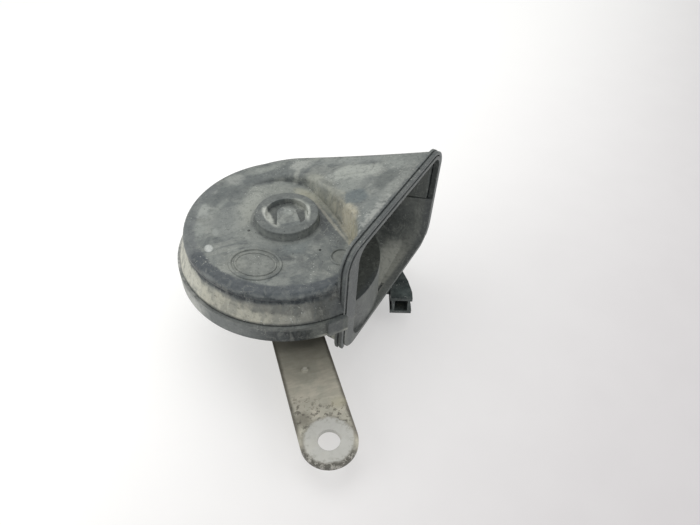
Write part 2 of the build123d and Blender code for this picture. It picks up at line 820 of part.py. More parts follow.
with BuildPart() as moving_contact_arm:
    extrude(stack_sketch(moving_arm_low), amount=arm_thickness)
    arm_line = [
        (-base_inner - arm_overlap, moving_arm_low),
        (-arm_lift_start, moving_arm_low),
        (-arm_lift_end, moving_arm_low + arm_lift),
        (-moving_arm_end, moving_arm_low + arm_lift),
    ]
    arm_upper = [(x, height + arm_thickness) for x, height in reversed(arm_line)]
    with BuildSketch(radial):
        with BuildLine():
            Polyline(*arm_line, *arm_upper, close=True)
        make_face()
    extrude(amount=arm_width / 2, both=True)

moving_contact_arm.part.label = "moving_contact_arm"
export_step(moving_contact_arm.part, "parts/moving_contact_arm.step")

with BuildPart() as fixed_contact:
    with BuildSketch(level(fixed_arm_top)):
        with Locations(polar(breaker_bearing, contact_from_axis)):
            Circle(contact_radius)
    extrude(amount=contact_height)

fixed_contact.part.label = "fixed_contact"
export_step(fixed_contact.part, "parts/fixed_contact.step")

with BuildPart() as moving_contact:
    with BuildSketch(level(moving_arm_low)):
        with Locations(polar(breaker_bearing, contact_from_axis)):
            Circle(contact_radius)
    extrude(amount=-contact_height)

moving_contact.part.label = "moving_contact"
export_step(moving_contact.part, "parts/moving_contact.step")

with BuildPart() as breaker_rivets:
    extrude(rivet_sketch(-pot_step_depth, rivet_head_radius), amount=-rivet_head)
    extrude(rivet_sketch(-pot_step_depth, rivet_radius), amount=stack_top + pot_step_depth)
    extrude(rivet_sketch(stack_top, rivet_head_radius), amount=rivet_head)

breaker_rivets.part.label = "breaker_rivets"
export_step(breaker_rivets.part, "parts/breaker_rivets.step")

with BuildPart() as adjusting_screw:
    with BuildSketch(level(-pot_step_depth)):
        with Locations(polar(screw_bearing, screw_from_axis)):
            Circle(screw_head_radius)
    extrude(amount=-screw_head_height)
    with BuildSketch(level(-pot_step_depth)):
        with Locations(polar(screw_bearing, screw_from_axis)):
            Circle(screw_radius)
    extrude(amount=fixed_arm_low + pot_step_depth)

adjusting_screw.part.label = "adjusting_screw"
export_step(adjusting_screw.part, "parts/adjusting_screw.step")

with BuildPart() as resistor:
    with BuildSketch(level(step_floor)):
        with Locations(polar(resistor_bearing, resistor_from_axis)):
            Rectangle(resistor_width, resistor_length, rotation=resistor_bearing)
    extrude(amount=resistor_width)

resistor.part.label = "resistor"
export_step(resistor.part, "parts/resistor.step")

# ---------------------------------------------------------------- connector
link_mid_y = link_low_y + link_width / 2
socket_low = socket_top - socket_height
socket_middle = (socket_top + socket_low) / 2
lip_side = socket_axis_x + socket_lip_width / 2
link_base_low = -pot_drop - link_base_thickness
socket_mouth = (horn_x + socket_axis_x, horn_y + socket_front_y, ring_base + socket_middle)


def blade_sketch(height):
    """Plan of a flat terminal that runs along the link and turns into the socket."""
    with BuildSketch(level(height - blade_thickness / 2)) as sketch:
        tip_y = socket_front_y + blade_recess
        with Locations((socket_axis_x, tip_y)):
            Rectangle(blade_width, link_mid_y + blade_width / 2 - tip_y, align=(Align.CENTER, Align.MIN))
        with Locations((blade_end_x, link_mid_y)):
            Rectangle(socket_axis_x - blade_end_x, blade_width, align=(Align.MIN, Align.CENTER))
    return sketch.sketch


with BuildPart() as terminal_live:
    extrude(blade_sketch(socket_middle + blade_spacing / 2), amount=blade_thickness)

terminal_live.part.label = "terminal_live"
export_step(terminal_live.part, "parts/terminal_live.step")

with BuildPart() as terminal_ground:
    extrude(blade_sketch(socket_middle - blade_spacing / 2), amount=blade_thickness)

terminal_ground.part.label = "terminal_ground"
export_step(terminal_ground.part, "parts/terminal_ground.step")

with BuildPart() as connector_housing:
    # Tapered shroud with an upper and a lower lip, and the link to the pot
    with BuildSketch(level(socket_low)):
        with BuildLine():
            Polyline(
                (lip_side - socket_lip_width, socket_front_y),
                (lip_side, socket_front_y),
                (lip_side, socket_front_y + collar_length),
                (lip_side - taper_step, socket_front_y + taper_length),
                (lip_side - tail_step, socket_front_y + socket_length),
                (lip_side - socket_lip_width, socket_front_y + socket_length),
                close=True,
            )
        make_face()
    extrude(amount=socket_height)
    with BuildSketch(level(socket_low + socket_lip_thickness)):
        with Locations((socket_axis_x, socket_front_y)):
            outward = (Align.CENTER, Align.MIN)
            reach = link_low_y - socket_front_y
            Rectangle(2 * socket_lip_width, reach, align=outward)
            Rectangle(socket_body_width, reach, align=outward, mode=Mode.SUBTRACT)
    extrude(amount=socket_height - 2 * socket_lip_thickness, mode=Mode.SUBTRACT)
    with BuildSketch(level(link_low)):
        with Locations((link_step_x, link_low_y)):
            Rectangle(lip_side - socket_body_width - link_step_x, link_width, align=Align.MIN)
    extrude(amount=link_top - link_low)
    with BuildSketch(level(link_base_low)):
        with Locations((link_start_x, link_low_y)):
            Rectangle(lip_side - socket_body_width - link_start_x, link_width, align=Align.MIN)
        with Locations((connector_rivet_x, connector_rivet_y)):
            Circle(rivet_radius + fit_clearance, mode=Mode.SUBTRACT)
    extrude(amount=link_base_thickness)
    with BuildSketch(Plane(origin=socket_mouth, z_dir=(0, 1, 0), x_dir=(1, 0, 0))):
        Rectangle(socket_room_width, socket_room_height)
    extrude(amount=socket_depth, mode=Mode.SUBTRACT)
    add(terminal_live.part, mode=Mode.SUBTRACT)
    add(terminal_ground.part, mode=Mode.SUBTRACT)

connector_housing.part.label = "connector_housing"
export_step(connector_housing.part, "parts/connector_housing.step")

with BuildPart() as connector_rivet:
    with BuildSketch(level(link_base_low)):
        with Locations((connector_rivet_x, connector_rivet_y)):
            Circle(rivet_head_radius)
    extrude(amount=-rivet_head)
    with BuildSketch(level(link_base_low)):
        with Locations((connector_rivet_x, connector_rivet_y)):
            Circle(rivet_radius)
    extrude(amount=pot_inner_floor - link_base_low)
    with BuildSketch(level(pot_inner_floor)):
        with Locations((connector_rivet_x, connector_rivet_y)):
            Circle(rivet_head_radius)
    extrude(amount=rivet_head)

connector_rivet.part.label = "connector_rivet"
export_step(connector_rivet.part, "parts/connector_rivet.step")

# ---------------------------------------------------------------- mounting strip and stud hardware
with BuildPart() as bracket:
    with BuildSketch():
        Circle(strip_width / 2)
        strip_reach = hole_to_horn * cos(radians(strip_bearing - hole_bearing))
        Rectangle(strip_reach, strip_width, rotation=90 + strip_bearing, align=(Align.MIN, Align.CENTER))
        with Locations((horn_x, horn_y)):
            Circle(strip_pad_radius)
            Circle(shank_radius + fit_clearance, mode=Mode.SUBTRACT)
        Circle(hole_radius, mode=Mode.SUBTRACT)
    extrude(amount=strip_thickness)
    with BuildSketch(Plane.XY.offset(strip_thickness)):
        with Locations((pip_x, pip_y)):
            Circle(pip_radius)
    extrude(amount=pip_height, taper=pip_draft)

bracket.part.label = "bracket"
export_step(bracket.part, "parts/bracket.step")

with BuildPart() as spring_washer:
    with BuildSketch(Plane.XY.offset(-washer_thickness)):
        with Locations((horn_x, horn_y)):
            Circle(washer_radius)
            Circle(shank_radius + fit_clearance, mode=Mode.SUBTRACT)
            Rectangle(washer_radius, washer_split, align=(Align.MIN, Align.CENTER), mode=Mode.SUBTRACT)
    extrude(amount=washer_thickness)

spring_washer.part.label = "spring_washer"
export_step(spring_washer.part, "parts/spring_washer.step")

with BuildPart() as stud_nut:
    nut_top = -washer_thickness
    nut_low = nut_top - nut_height
    flat = nut_across_flats / 2
    corner = flat / cos(radians(30))
    with BuildSketch(Plane.XY.offset(nut_low)):
        with Locations((horn_x, horn_y)):
            RegularPolygon(flat, 6, major_radius=False)
            Circle(shank_radius + fit_clearance, mode=Mode.SUBTRACT)
    extrude(amount=nut_height)
    with BuildSketch(Plane(origin=(horn_x, horn_y, 0), x_dir=(1, 0, 0), z_dir=(0, -1, 0))):
        with BuildLine():
            chamfered = [(flat, nut_top), (corner, nut_top - nut_chamfer), (corner, nut_low + nut_chamfer)]
            Polyline((0, nut_top), *chamfered, (flat, nut_low), (0, nut_low), close=True)
        make_face()
    revolve(axis=horn_axis, mode=Mode.INTERSECT)

stud_nut.part.label = "stud_nut"
export_step(stud_nut.part, "parts/stud_nut.step")
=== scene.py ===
"""Looks of a snail-trumpet car horn: finishes, raised marks, threads, light and camera."""

import logging
import math
from dataclasses import dataclass
from enum import Enum
from typing import Sequence

import bpy
import numpy as np
from mathutils import Matrix, Vector


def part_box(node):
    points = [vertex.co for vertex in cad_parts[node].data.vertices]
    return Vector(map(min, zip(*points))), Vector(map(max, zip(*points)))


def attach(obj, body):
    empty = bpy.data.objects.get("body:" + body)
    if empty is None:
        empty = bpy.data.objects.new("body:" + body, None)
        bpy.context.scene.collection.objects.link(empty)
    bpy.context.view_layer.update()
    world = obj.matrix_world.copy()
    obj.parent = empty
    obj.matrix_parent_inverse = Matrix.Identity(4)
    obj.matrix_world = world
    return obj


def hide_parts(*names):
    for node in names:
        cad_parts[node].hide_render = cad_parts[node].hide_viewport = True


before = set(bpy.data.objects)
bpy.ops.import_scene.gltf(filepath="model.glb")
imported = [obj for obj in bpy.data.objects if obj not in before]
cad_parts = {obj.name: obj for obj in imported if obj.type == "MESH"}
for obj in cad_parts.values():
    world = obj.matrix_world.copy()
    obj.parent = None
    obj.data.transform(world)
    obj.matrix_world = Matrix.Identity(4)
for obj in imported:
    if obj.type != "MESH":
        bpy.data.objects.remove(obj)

LOG = logging.getLogger("horn")
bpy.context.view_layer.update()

Triple = tuple[float, float, float]
Pair = tuple[float, float]
Socket = bpy.types.NodeSocket

MM = 0.001
HORN_X = -19.14
HORN_Y = 70.44
RING_BASE = 27.0
ORIGIN = (0.0, 0.0, 0.0)
HORN_MIDDLE = (-10.0, 60.0, 30.0)
ALL_ROUND = (-180.0, 180.0)


class Axis(Enum):
    """Named parts of a place vector."""

    X = 0
    Y = 1
    Z = 2


class Blend(Enum):
    """Ways in which a colour joins the one under it."""

    COVER = "MIX"
    DARKEN = "MULTIPLY"


# ---------------------------------------------------------------- grains, stains and painted shade


@dataclass(frozen=True)
class Grain:
    """Fractal noise in object space.

    Its fields are lumps in a metre, octaves, the share that each octave keeps, warp, a stretch turned about
    +Z by degrees, and its cut, which is the span of noise over which a tone comes in.
    """

    scale: float
    detail: float = 4.0
    roughness: float = 0.55
    warp: float = 0.0
    stretch: Triple = (1.0, 1.0, 1.0)
    turn: float = 0.0
    cut: Pair = (0.0, 1.0)


@dataclass(frozen=True)
class Mark:
    """Stain, painted shade or painted highlight at one place: an ellipsoid, in mm and degrees, with a soft
    edge that a grain makes ragged.
    """

    centre: Triple
    radii: Triple
    turn: float
    tone: Triple
    strength: float
    soft: float
    ragged: float
    grain: float = 160.0


@dataclass(frozen=True)
class Band:
    """Stain or painted shade that goes round the horn's axis: spans of height, radius and bearing, in mm and
    degrees.
    """

    heights: Pair
    radii: Pair
    bearings: Pair
    tone: Triple
    strength: float
    soft: float
    ragged: float
    grain: float = 160.0


def marks_over(level: float, *rows: tuple) -> tuple[Mark, ...]:
    """Marks whose heights are counted from one level.

    Args:
        level: The level in mm.
        rows: What each mark takes, with its centre first.

    Returns:
        The marks in the same order.
    """
    return tuple(Mark((x, y, level + z), *rest) for (x, y, z), *rest in rows)


def bands_at(radii: Pair, *rows: tuple) -> tuple[Band, ...]:
    """Bands that share their span of radius.

    Args:
        radii: The span in mm.
        rows: Heights of each band, and what it takes after its radii.

    Returns:
        The bands in the same order.
    """
    return tuple(Band(heights, radii, *rest) for heights, *rest in rows)


# ---------------------------------------------------------------- node board


class Board:
    """Node tree of one material, with short calls for its nodes, and the colour laid so far."""

    wall_tilt: Pair = (0.35, 0.75)
    # span of ambient occlusion over which painted corner shade comes in, and its samples
    corner_shade_light: Pair = (0.25, 0.85)
    corner_shade_samples: int = 8
    bevel_samples: int = 6
    bearing_fade: float = 0.06

    def __init__(self, name: str, colour: Triple) -> None:
        """Makes an empty material with its output and its Principled shader.

        Args:
            name: Name of the material.
            colour: Colour under all others.
        """
        self.colour: Triple | Socket = colour
        self.material = bpy.data.materials.new(name)
        self.material.use_nodes = True
        self.tree = self.material.node_tree
        self.tree.nodes.clear()
        output = self.tree.nodes.new("ShaderNodeOutputMaterial")
        self.shader = self.tree.nodes.new("ShaderNodeBsdfPrincipled")
        self.tree.links.new(self.shader.outputs[0], output.inputs[0])
        self.place = self.tree.nodes.new("ShaderNodeTexCoord").outputs["Object"]
        self.parts = self.split(self.place)

    def feed(self, socket: Socket, value: object) -> None:
        """Links an output to a socket, or sets the socket to a constant.

        Args:
            socket: Input that gets the value.
            value: Output socket, number, or colour of three numbers.
        """
        if isinstance(value, Socket):
            self.tree.links.new(value, socket)
        elif isinstance(value, tuple) and socket.type == "RGBA":
            socket.default_value = (*value, 1.0)
        else:
            socket.default_value = value

    def split(self, vector: Socket) -> Sequence[Socket]:
        """Parts of a vector.

        Args:
            vector: The vector.

        Returns:
            Its x, y and z.
        """
        node = self.tree.nodes.new("ShaderNodeSeparateXYZ")
        self.tree.links.new(vector, node.inputs[0])
        return node.outputs

    def vector(self, operation: str, first: Socket, second: Triple = ORIGIN) -> Socket:
        """One Vector Math node.

        Args:
            operation: Name of the operation, such as LENGTH.
            first: The vector.
            second: Constant vector that it meets.

        Returns:
            The number that LENGTH and DOT_PRODUCT give, or else the new vector.
        """
        node = self.tree.nodes.new("ShaderNodeVectorMath")
        node.operation = operation
        self.feed(node.inputs[0], first)
        node.inputs[1].default_value = second
        return node.outputs["Value" if operation in ("LENGTH", "DOT_PRODUCT") else "Vector"]

    def math(self, operation: str, first: object, second: object = 0.0) -> Socket:
        """One Math node.

        Args:
            operation: Name of the operation, such as ADD.
            first: First number or socket.
            second: Second number or socket.

        Returns:
            The result.
        """
        node = self.tree.nodes.new("ShaderNodeMath")
        node.operation = operation
        self.feed(node.inputs[0], first)
        self.feed(node.inputs[1], second)
        return node.outputs[0]

    def times(self, first: object, *others: object) -> object:
        """Product of numbers.

        Args:
            first: First number or socket.
            others: Numbers or sockets that it is multiplied by.

        Returns:
            first * others[0] * others[1] and so on.
        """
        for other in others:
            first = self.math("MULTIPLY", first, other)
        return first

    def weigh(self, first: object, *terms: tuple[object, float]) -> Socket:
        """Number plus weighted numbers.

        Args:
            first: Number or socket that is taken whole.
            terms: Pairs of a number or socket and its weight.

        Returns:
            first + the sum of value * weight.
        """
        for value, weight in terms:
            first = self.math("ADD", first, self.times(value, weight))
        return first

    def span(self, value: object, low: float, high: float, start: float = 0.0, end: float = 1.0) -> Socket:
        """Smooth step: start at or under low, end at or over high.

        Args:
            value: Number that is mapped.
            low: Value that gives start.
            high: Value that gives end.
            start: Result at low.
            end: Result at high.

        Returns:
            The mapped number.
        """
        node = self.tree.nodes.new("ShaderNodeMapRange")
        node.interpolation_type = "SMOOTHSTEP"
        self.feed(node.inputs["Value"], value)
        for name, number in (("From Min", low), ("From Max", high), ("To Min", start), ("To Max", end)):
            node.inputs[name].default_value = number
        return node.outputs["Result"]

    def window(self, value: object, low: float, high: float, soft: float) -> Socket:
        """One inside a span and nought outside it, with soft ends.

        Args:
            value: Number that is tested.
            low: Lower end of the span.
            high: Upper end of the span.
            soft: Half the width of each soft end.

        Returns:
            step(value - low) * (1 - step(value - high)).
        """
        rise = self.span(value, low - soft, low + soft)
        fall = self.span(value, high - soft, high + soft, 1.0, 0.0)
        return self.times(rise, fall)

    def seat(self, centre: Triple, scale: Triple, turn: float) -> Socket:
        """Place seen from a centre: moved to it, turned back, and divided by a scale.

        Args:
            centre: Centre in mm.
            scale: Size of one unit along each axis in mm.
            turn: Turn about +Z in degrees.

        Returns:
            The place as a vector.
        """
        node = self.tree.nodes.new("ShaderNodeMapping")
        node.vector_type = "TEXTURE"
        self.feed(node.inputs["Vector"], self.place)
        node.inputs["Location"].default_value = [number * MM for number in centre]
        node.inputs["Rotation"].default_value = (0.0, 0.0, math.radians(turn))
        node.inputs["Scale"].default_value = [number * MM for number in scale]
        return node.outputs[0]

    def noise(self, grain: Grain) -> Socket:
        """Fractal noise in object space.

        Args:
            grain: Its settings.

        Returns:
            A number near 0.5, from 0 to 1.
        """
        node = self.tree.nodes.new("ShaderNodeTexNoise")
        lump = tuple(number / MM for number in grain.stretch)
        self.feed(node.inputs["Vector"], self.seat(ORIGIN, lump, grain.turn))
        node.inputs["Scale"].default_value = grain.scale
        node.inputs["Detail"].default_value = grain.detail
        node.inputs["Roughness"].default_value = grain.roughness
        node.inputs["Distortion"].default_value = grain.warp
        return node.outputs["Fac"]

    def grains(self, grain: Grain, share: float = 1.0) -> Socket:
        """Places where a noise passes its cut.

        Args:
            grain: Settings of the noise.
            share: Result over the cut.

        Returns:
            Nought under the cut, share over it.
        """
        return self.span(self.noise(grain), *grain.cut, 0.0, share)

    def mix(self, share: object, under: object, over: object, blend: Blend = Blend.COVER) -> Socket:
        """Colour over colour.

        Args:
            share: Share of the upper colour.
            under: Lower colour.
            over: Upper colour.
            blend: How they join.

        Returns:
            The joined colour.
        """
        node = self.tree.nodes.new("ShaderNodeMix")
        node.data_type = "RGBA"
        node.blend_type = blend.value
        self.feed(node.inputs[0], share)
        self.feed(node.inputs[6], under)
        self.feed(node.inputs[7], over)
        return node.outputs[2]

    def lay(self, tone: Triple, *shares: object, blend: Blend = Blend.COVER) -> None:
        """Lays a tone over the colour so far.

        Args:
            tone: The tone.
            shares: Numbers whose product is its share.
            blend: How it joins.
        """
        self.colour = self.mix(self.times(*shares), self.colour, tone, blend)

    def axial(self) -> tuple[Socket, Socket]:
        """Radius from the horn's axis in metres, and the place's flat direction from it.

        Returns:
            sqrt((x - hx)^2 + (y - hy)^2), and the unit vector towards the place.
        """
        beside = self.vector("SUBTRACT", self.place, (HORN_X * MM, HORN_Y * MM, 0.0))
        level = self.vector("MULTIPLY", beside, (1.0, 1.0, 0.0))
        return self.vector("LENGTH", level), self.vector("NORMALIZE", level)

    def ragged(self, value: object, size: float, grain: float) -> Socket:
        """Number plus noise, for the edge of a stain.

        Args:
            value: Number that is roughened.
            size: Span of the noise that is added.
            grain: Lumps in a metre.

        Returns:
            value + size * (noise - 0.5).
        """
        lumps = self.math("SUBTRACT", self.noise(Grain(grain, 5.0, 0.6)), 0.5)
        return self.weigh(value, (lumps, size))

    def mark(self, stain: Mark) -> Socket:
        """Mask of an ellipsoidal stain, painted shade or painted highlight.

        Args:
            stain: The stain.

        Returns:
            strength * (1 - step(|place in the ellipsoid| + noise)).
        """
        away = self.vector("LENGTH", self.seat(stain.centre, stain.radii, stain.turn))
        reach = self.ragged(away, stain.ragged * 2.0, stain.grain)
        return self.span(reach, 1.0 - stain.soft, 1.0 + stain.soft, stain.strength, 0.0)

    def band(self, stain: Band) -> Socket:
        """Mask of a stain or of painted shade round the axis.

        Args:
            stain: The stain.

        Returns:
            strength times the windows of height and radius, and of bearing unless it goes all round.
        """
        radius, direction = self.axial()
        low, high = ((RING_BASE + end) * MM for end in stain.heights)
        inner, outer = (end * MM for end in stain.radii)
        soft, rough = stain.soft * MM, stain.ragged * MM
        height = self.ragged(self.parts[Axis.Z.value], rough, stain.grain)
        ring = self.ragged(radius, rough, stain.grain)
        mask = self.times(self.window(height, low, high, soft), self.window(ring, inner, outer, soft))
        first, last = (math.radians(bearing) for bearing in stain.bearings)
        middle, half = (first + last) / 2, (last - first) / 2
        if half < math.pi:
            facing = self.vector("DOT_PRODUCT", direction, (math.cos(middle), math.sin(middle), 0.0))
            facing = self.ragged(facing, 2 * self.bearing_fade, stain.grain)
            edge = math.cos(half)
            mask = self.times(mask, self.span(facing, edge - self.bearing_fade, edge + self.bearing_fade))
        return self.times(mask, stain.strength)

    def stain(self, stains: Sequence[Mark | Band]) -> None:
        """Lays stains and painted shade over the colour so far, one after the other.

        Args:
            stains: Stains in the order in which they lie.
        """
        for one in stains:
            self.lay(one.tone, self.mark(one) if isinstance(one, Mark) else self.band(one))

    def brightness(self) -> Socket:
        """Brightness of the colour so far.

        Returns:
            A number from 0 to 1.
        """
        node = self.tree.nodes.new("ShaderNodeRGBToBW")
        self.feed(node.inputs[0], self.colour)
        return node.outputs[0]

    def upright(self) -> Socket:
        """Mask of walls.

        Returns:
            One where the surface stands upright, nought where it lies flat.
        """
        normal = self.tree.nodes.new("ShaderNodeNewGeometry").outputs["Normal"]
        tilt = self.math("ABSOLUTE", self.split(normal)[Axis.Z.value])
        return self.span(tilt, *self.wall_tilt, 1.0, 0.0)

    def corner_shade(self, reach: float) -> Socket:
        """Mask of corners that other faces shade, where painted shade is laid.

        Args:
            reach: Distance that is searched, in mm.

        Returns:
            One deep in a corner, nought on an open face.
        """
        node = self.tree.nodes.new("ShaderNodeAmbientOcclusion")
        node.samples = self.corner_shade_samples
        node.inputs["Distance"].default_value = reach * MM
        return self.span(node.outputs["AO"], *self.corner_shade_light, 1.0, 0.0)

    def relief(self, height: object, depth: float, edge: float) -> None:
        """Bump over softened edges, on the shader's normal.

        Args:
            height: Height from 0 to 1.
            depth: Depth of the bump in mm.
            edge: Radius of the softened edges in mm, or nought for none.
        """
        bump = self.tree.nodes.new("ShaderNodeBump")
        bump.inputs["Distance"].default_value = depth * MM
        self.feed(bump.inputs["Height"], height)
        if edge:
            bevel = self.tree.nodes.new("ShaderNodeBevel")
            bevel.samples = self.bevel_samples
            bevel.inputs["Radius"].default_value = edge * MM
            self.feed(bump.inputs["Normal"], bevel.outputs[0])
        self.feed(self.shader.inputs["Normal"], bump.outputs[0])

    def settle(self, **values: object) -> bpy.types.Material:
        """Sets the shader's base colour to the colour so far, and its other sockets.

        Args:
            values: Socket names, with spaces written as underscores, and their values.

        Returns:
            The finished material.
        """
        for name, value in {"Base_Color": self.colour, **values}.items():
            self.feed(self.shader.inputs[name.replace("_", " ")], value)
        return self.material


# ---------------------------------------------------------------- finishes

DUST = (0.355, 0.368, 0.335)
PALE = (0.52, 0.54, 0.50)
MOTTLE_SHADE = (0.50, 0.52, 0.53)
GREY = (0.212, 0.228, 0.216)
# painted shade: near-black that is laid in corners
SLATE = (0.118, 0.132, 0.131)
CORNER_SHADE = (0.030, 0.038, 0.044)
BLACK = (0.014, 0.017, 0.017)


@dataclass(frozen=True)
class DustyPlastic:
    """Moulded black plastic under smeared road dust, with stains and painted shade at their places."""

    name: str
    clean: Triple = SLATE
    dusty: Triple = GREY
    dust: Triple = DUST
    stains: tuple[Mark | Band, ...] = ()
    smears: tuple[Mark | Band, ...] = ()
    haze: float = 0.35
    rub: float = 0.45
    flake: float = 0.15
    streak: float = 0.4
    corner_shade_share: float = 0.5
    corner_shade_reach: float = 2.5
    mottle_shade: float = 0.55
    mottle_dust: float = 0.28
    speck_share: float = 0.75
    pit_share: float = 0.6
    scratch_share: float = 0.55
    roughness: Pair = (0.34, 0.80)
    gloss: float = 0.32
    depth: float = 0.18
    edge: float = 0.45
    cloud: Grain = Grain(75.0, 7.0, 0.62, 1.2, cut=(0.36, 0.62))
    wipes: Grain = Grain(48.0, 8.0, 0.62, 1.8, (1.5, 0.8, 1.0), 24.0, (0.51, 0.55))
    rubbed: Grain = Grain(64.0, 8.0, 0.66, 2.2, (0.8, 1.6, 1.0), -30.0, (0.56, 0.60))
    drips: Grain = Grain(330.0, 5.0, 0.6, 0.3, (1.0, 1.0, 4.5))
    flakes: Grain = Grain(170.0, 8.0, 0.68, 1.6)
    mottle: Grain = Grain(560.0, 6.0, 0.72)
    crumbs: Grain = Grain(1250.0, 3.0, 0.6, cut=(0.60, 0.67))
    patches: Grain = Grain(70.0, 5.0, 0.6, 1.0, cut=(0.48, 0.60))
    pits: Grain = Grain(1050.0, 2.0, 0.5, 0.0, (1.0, 1.3, 1.0), 40.0, (0.69, 0.75))
    scratches: Grain = Grain(240.0, 3.0, 0.7, 0.4, (5.0, 0.16, 1.0), 63.0, (0.64, 0.69))

    def lay_dust(self, board: Board) -> None:
        """Lays clouds of dust, smeared haze and rubbed places on the clean plastic.

        Args:
            board: Board of the material.
        """
        board.lay(self.dusty, board.grains(self.cloud))
        board.lay(self.dust, board.grains(self.wipes, self.haze))
        board.lay(self.clean, board.grains(self.rubbed, self.rub))

    def lay_drips(self, board: Board) -> None:
        """Lays washed and caked drips on the walls, and painted shade in the corners.

        Args:
            board: Board of the material.
        """
        walls, run = board.upright(), board.noise(self.drips)
        board.lay(self.clean, board.span(run, 0.44, 0.62), walls, self.streak)
        board.lay(self.dust, board.span(run, 0.46, 0.34), walls, self.streak * 0.6)
        # painted shade: near-black where ambient occlusion finds corners
        board.lay(CORNER_SHADE, board.corner_shade(self.corner_shade_reach), self.corner_shade_share)

    def lay_flakes(self, board: Board) -> Socket:
        """Lays flaked dust and a fine mottle.

        Args:
            board: Board of the material.

        Returns:
            The height that they add.
        """
        flakes, mottle = board.noise(self.flakes), board.noise(self.mottle)
        board.lay(self.dust, board.span(flakes, 0.555, 0.585, 0.0, self.flake))
        board.lay(self.clean, board.span(flakes, 0.43, 0.40, 0.0, self.flake))
        board.lay(MOTTLE_SHADE, board.span(mottle, 0.34, 0.52, self.mottle_shade, 0.0), blend=Blend.DARKEN)
        board.lay(self.dust, board.span(mottle, 0.55, 0.72, 0.0, self.mottle_dust))
        return board.weigh(board.times(mottle, 0.6), (flakes, 0.9))

    def lay_specks(self, board: Board) -> Socket:
        """Lays pale crumbs, black pits and dusty scratches, with crumbs and scratches in patches.

        Args:
            board: Board of the material.

        Returns:
            The height that they add.
        """
        patch = board.grains(self.patches)
        specks = board.times(board.grains(self.crumbs, self.speck_share), patch)
        scratch = board.times(board.grains(self.scratches, self.scratch_share), patch)
        board.lay(PALE, specks)
        board.lay(BLACK, board.grains(self.pits, self.pit_share))
        board.lay(self.dust, scratch)
        return board.weigh(board.times(specks, 0.7), (scratch, -0.5))

    def make(self) -> bpy.types.Material:
        """Builds the material.

        Returns:
            Dusty plastic, then stains with painted shade among them, drips, painted shade in the corners,
            smears, flakes and specks over it, with a roughness that follows the brightness.
        """
        board = Board(self.name, self.clean)
        self.lay_dust(board)
        board.stain(self.stains)
        self.lay_drips(board)
        board.stain(self.smears)
        board.relief(board.math("ADD", self.lay_flakes(board), self.lay_specks(board)), self.depth, self.edge)
        roughness = board.span(board.brightness(), 0.02, 0.30, *self.roughness)
        return board.settle(Roughness=roughness, Specular_IOR_Level=self.gloss)


@dataclass(frozen=True)
class Metal:
    """Rolled, plated or turned metal: two tones, grain along one way, and small spots."""

    name: str
    bright: Triple
    dull: Triple
    roughness: Pair = (0.28, 0.48)
    spot_share: float = 0.5
    spot: Triple = (0.05, 0.045, 0.04)
    metallic: float = 0.9
    depth: float = 0.03
    edge: float = 0.15
    cloud: Grain = Grain(180.0, 5.0, 0.6, 0.5)
    rolling: Grain = Grain(420.0, 4.0, 0.6, 0.0, (3.0, 0.5, 1.0))
    spots: Grain = Grain(900.0, 3.0, 0.6, cut=(0.66, 0.76))

    def make(self) -> bpy.types.Material:
        """Builds the material.

        Returns:
            mix(bright, dull, cloud) with darker spots, and roughness and bump from the grain.
        """
        board = Board(self.name, self.bright)
        cloud, grain = board.noise(self.cloud), board.noise(self.rolling)
        spots = board.grains(self.spots, self.spot_share)
        board.lay(self.dull, board.span(cloud, 0.36, 0.66))
        board.lay(self.spot, spots)
        board.relief(board.math("SUBTRACT", grain, spots), self.depth, self.edge)
        blur = board.weigh(board.times(cloud, 0.5), (grain, 0.5))
        return board.settle(Roughness=board.span(blur, 0.35, 0.65, *self.roughness), Metallic=self.metallic)


@dataclass(frozen=True)
class Moulding:
    """Plain moulded, pressed or fired stuff: two tones with grain and a little dust."""

    name: str
    tone: Triple
    shade: Triple
    roughness: Pair = (0.4, 0.6)
    grain: Grain = Grain(700.0, 3.0, 0.6)
    dust: Triple = (0.2, 0.19, 0.17)
    dust_share: float = 0.15
    depth: float = 0.04
    edge: float = 0.15
    cloud: Grain = Grain(150.0, 5.0, 0.6, 0.4)

    def make(self) -> bpy.types.Material:
        """Builds the material.

        Returns:
            mix(tone, shade, cloud) under thin dust, and roughness and bump from the grain.
        """
        board = Board(self.name, self.tone)
        cloud, grain = board.noise(self.cloud), board.noise(self.grain)
        board.lay(self.shade, board.span(cloud, 0.35, 0.65))
        board.lay(self.dust, board.span(grain, 0.52, 0.72, 0.0, self.dust_share))
        board.relief(grain, self.depth, self.edge)
        return board.settle(Roughness=board.span(cloud, 0.3, 0.7, *self.roughness))


@dataclass(frozen=True)
class WoundWire:
    """Enamelled copper wire in close turns round the coil's axis."""

    name: str
    pitch: float = 0.5
    # painted shade: the dark tone in the grooves between turns
    groove: Triple = (0.12, 0.03, 0.012)
    crown: Triple = (0.55, 0.20, 0.08)
    varnish: Triple = (0.30, 0.09, 0.03)
    roughness: Pair = (0.25, 0.4)
    metallic: float = 0.7
    depth: float = 0.15
    lay: Grain = Grain(300.0, 3.0)

    def make(self) -> bpy.types.Material:
        """Builds the material.

        Returns:
            Copper with sine ridges along the height, one for each turn of the wire, and painted shade in the
            grooves between them.
        """
        board = Board(self.name, self.groove)
        height = board.parts[Axis.Z.value]
        turns = board.math("SINE", board.times(height, math.tau / (self.pitch * MM)))
        lay = board.noise(self.lay)
        board.lay(self.crown, board.span(turns, -1.0, 0.6))
        board.lay(self.varnish, board.span(lay, 0.45, 0.7, 0.0, 0.4))
        board.relief(board.span(turns, -1.0, 1.0), self.depth, 0.0)
        return board.settle(Roughness=board.span(lay, 0.3, 0.7, *self.roughness), Metallic=self.metallic)


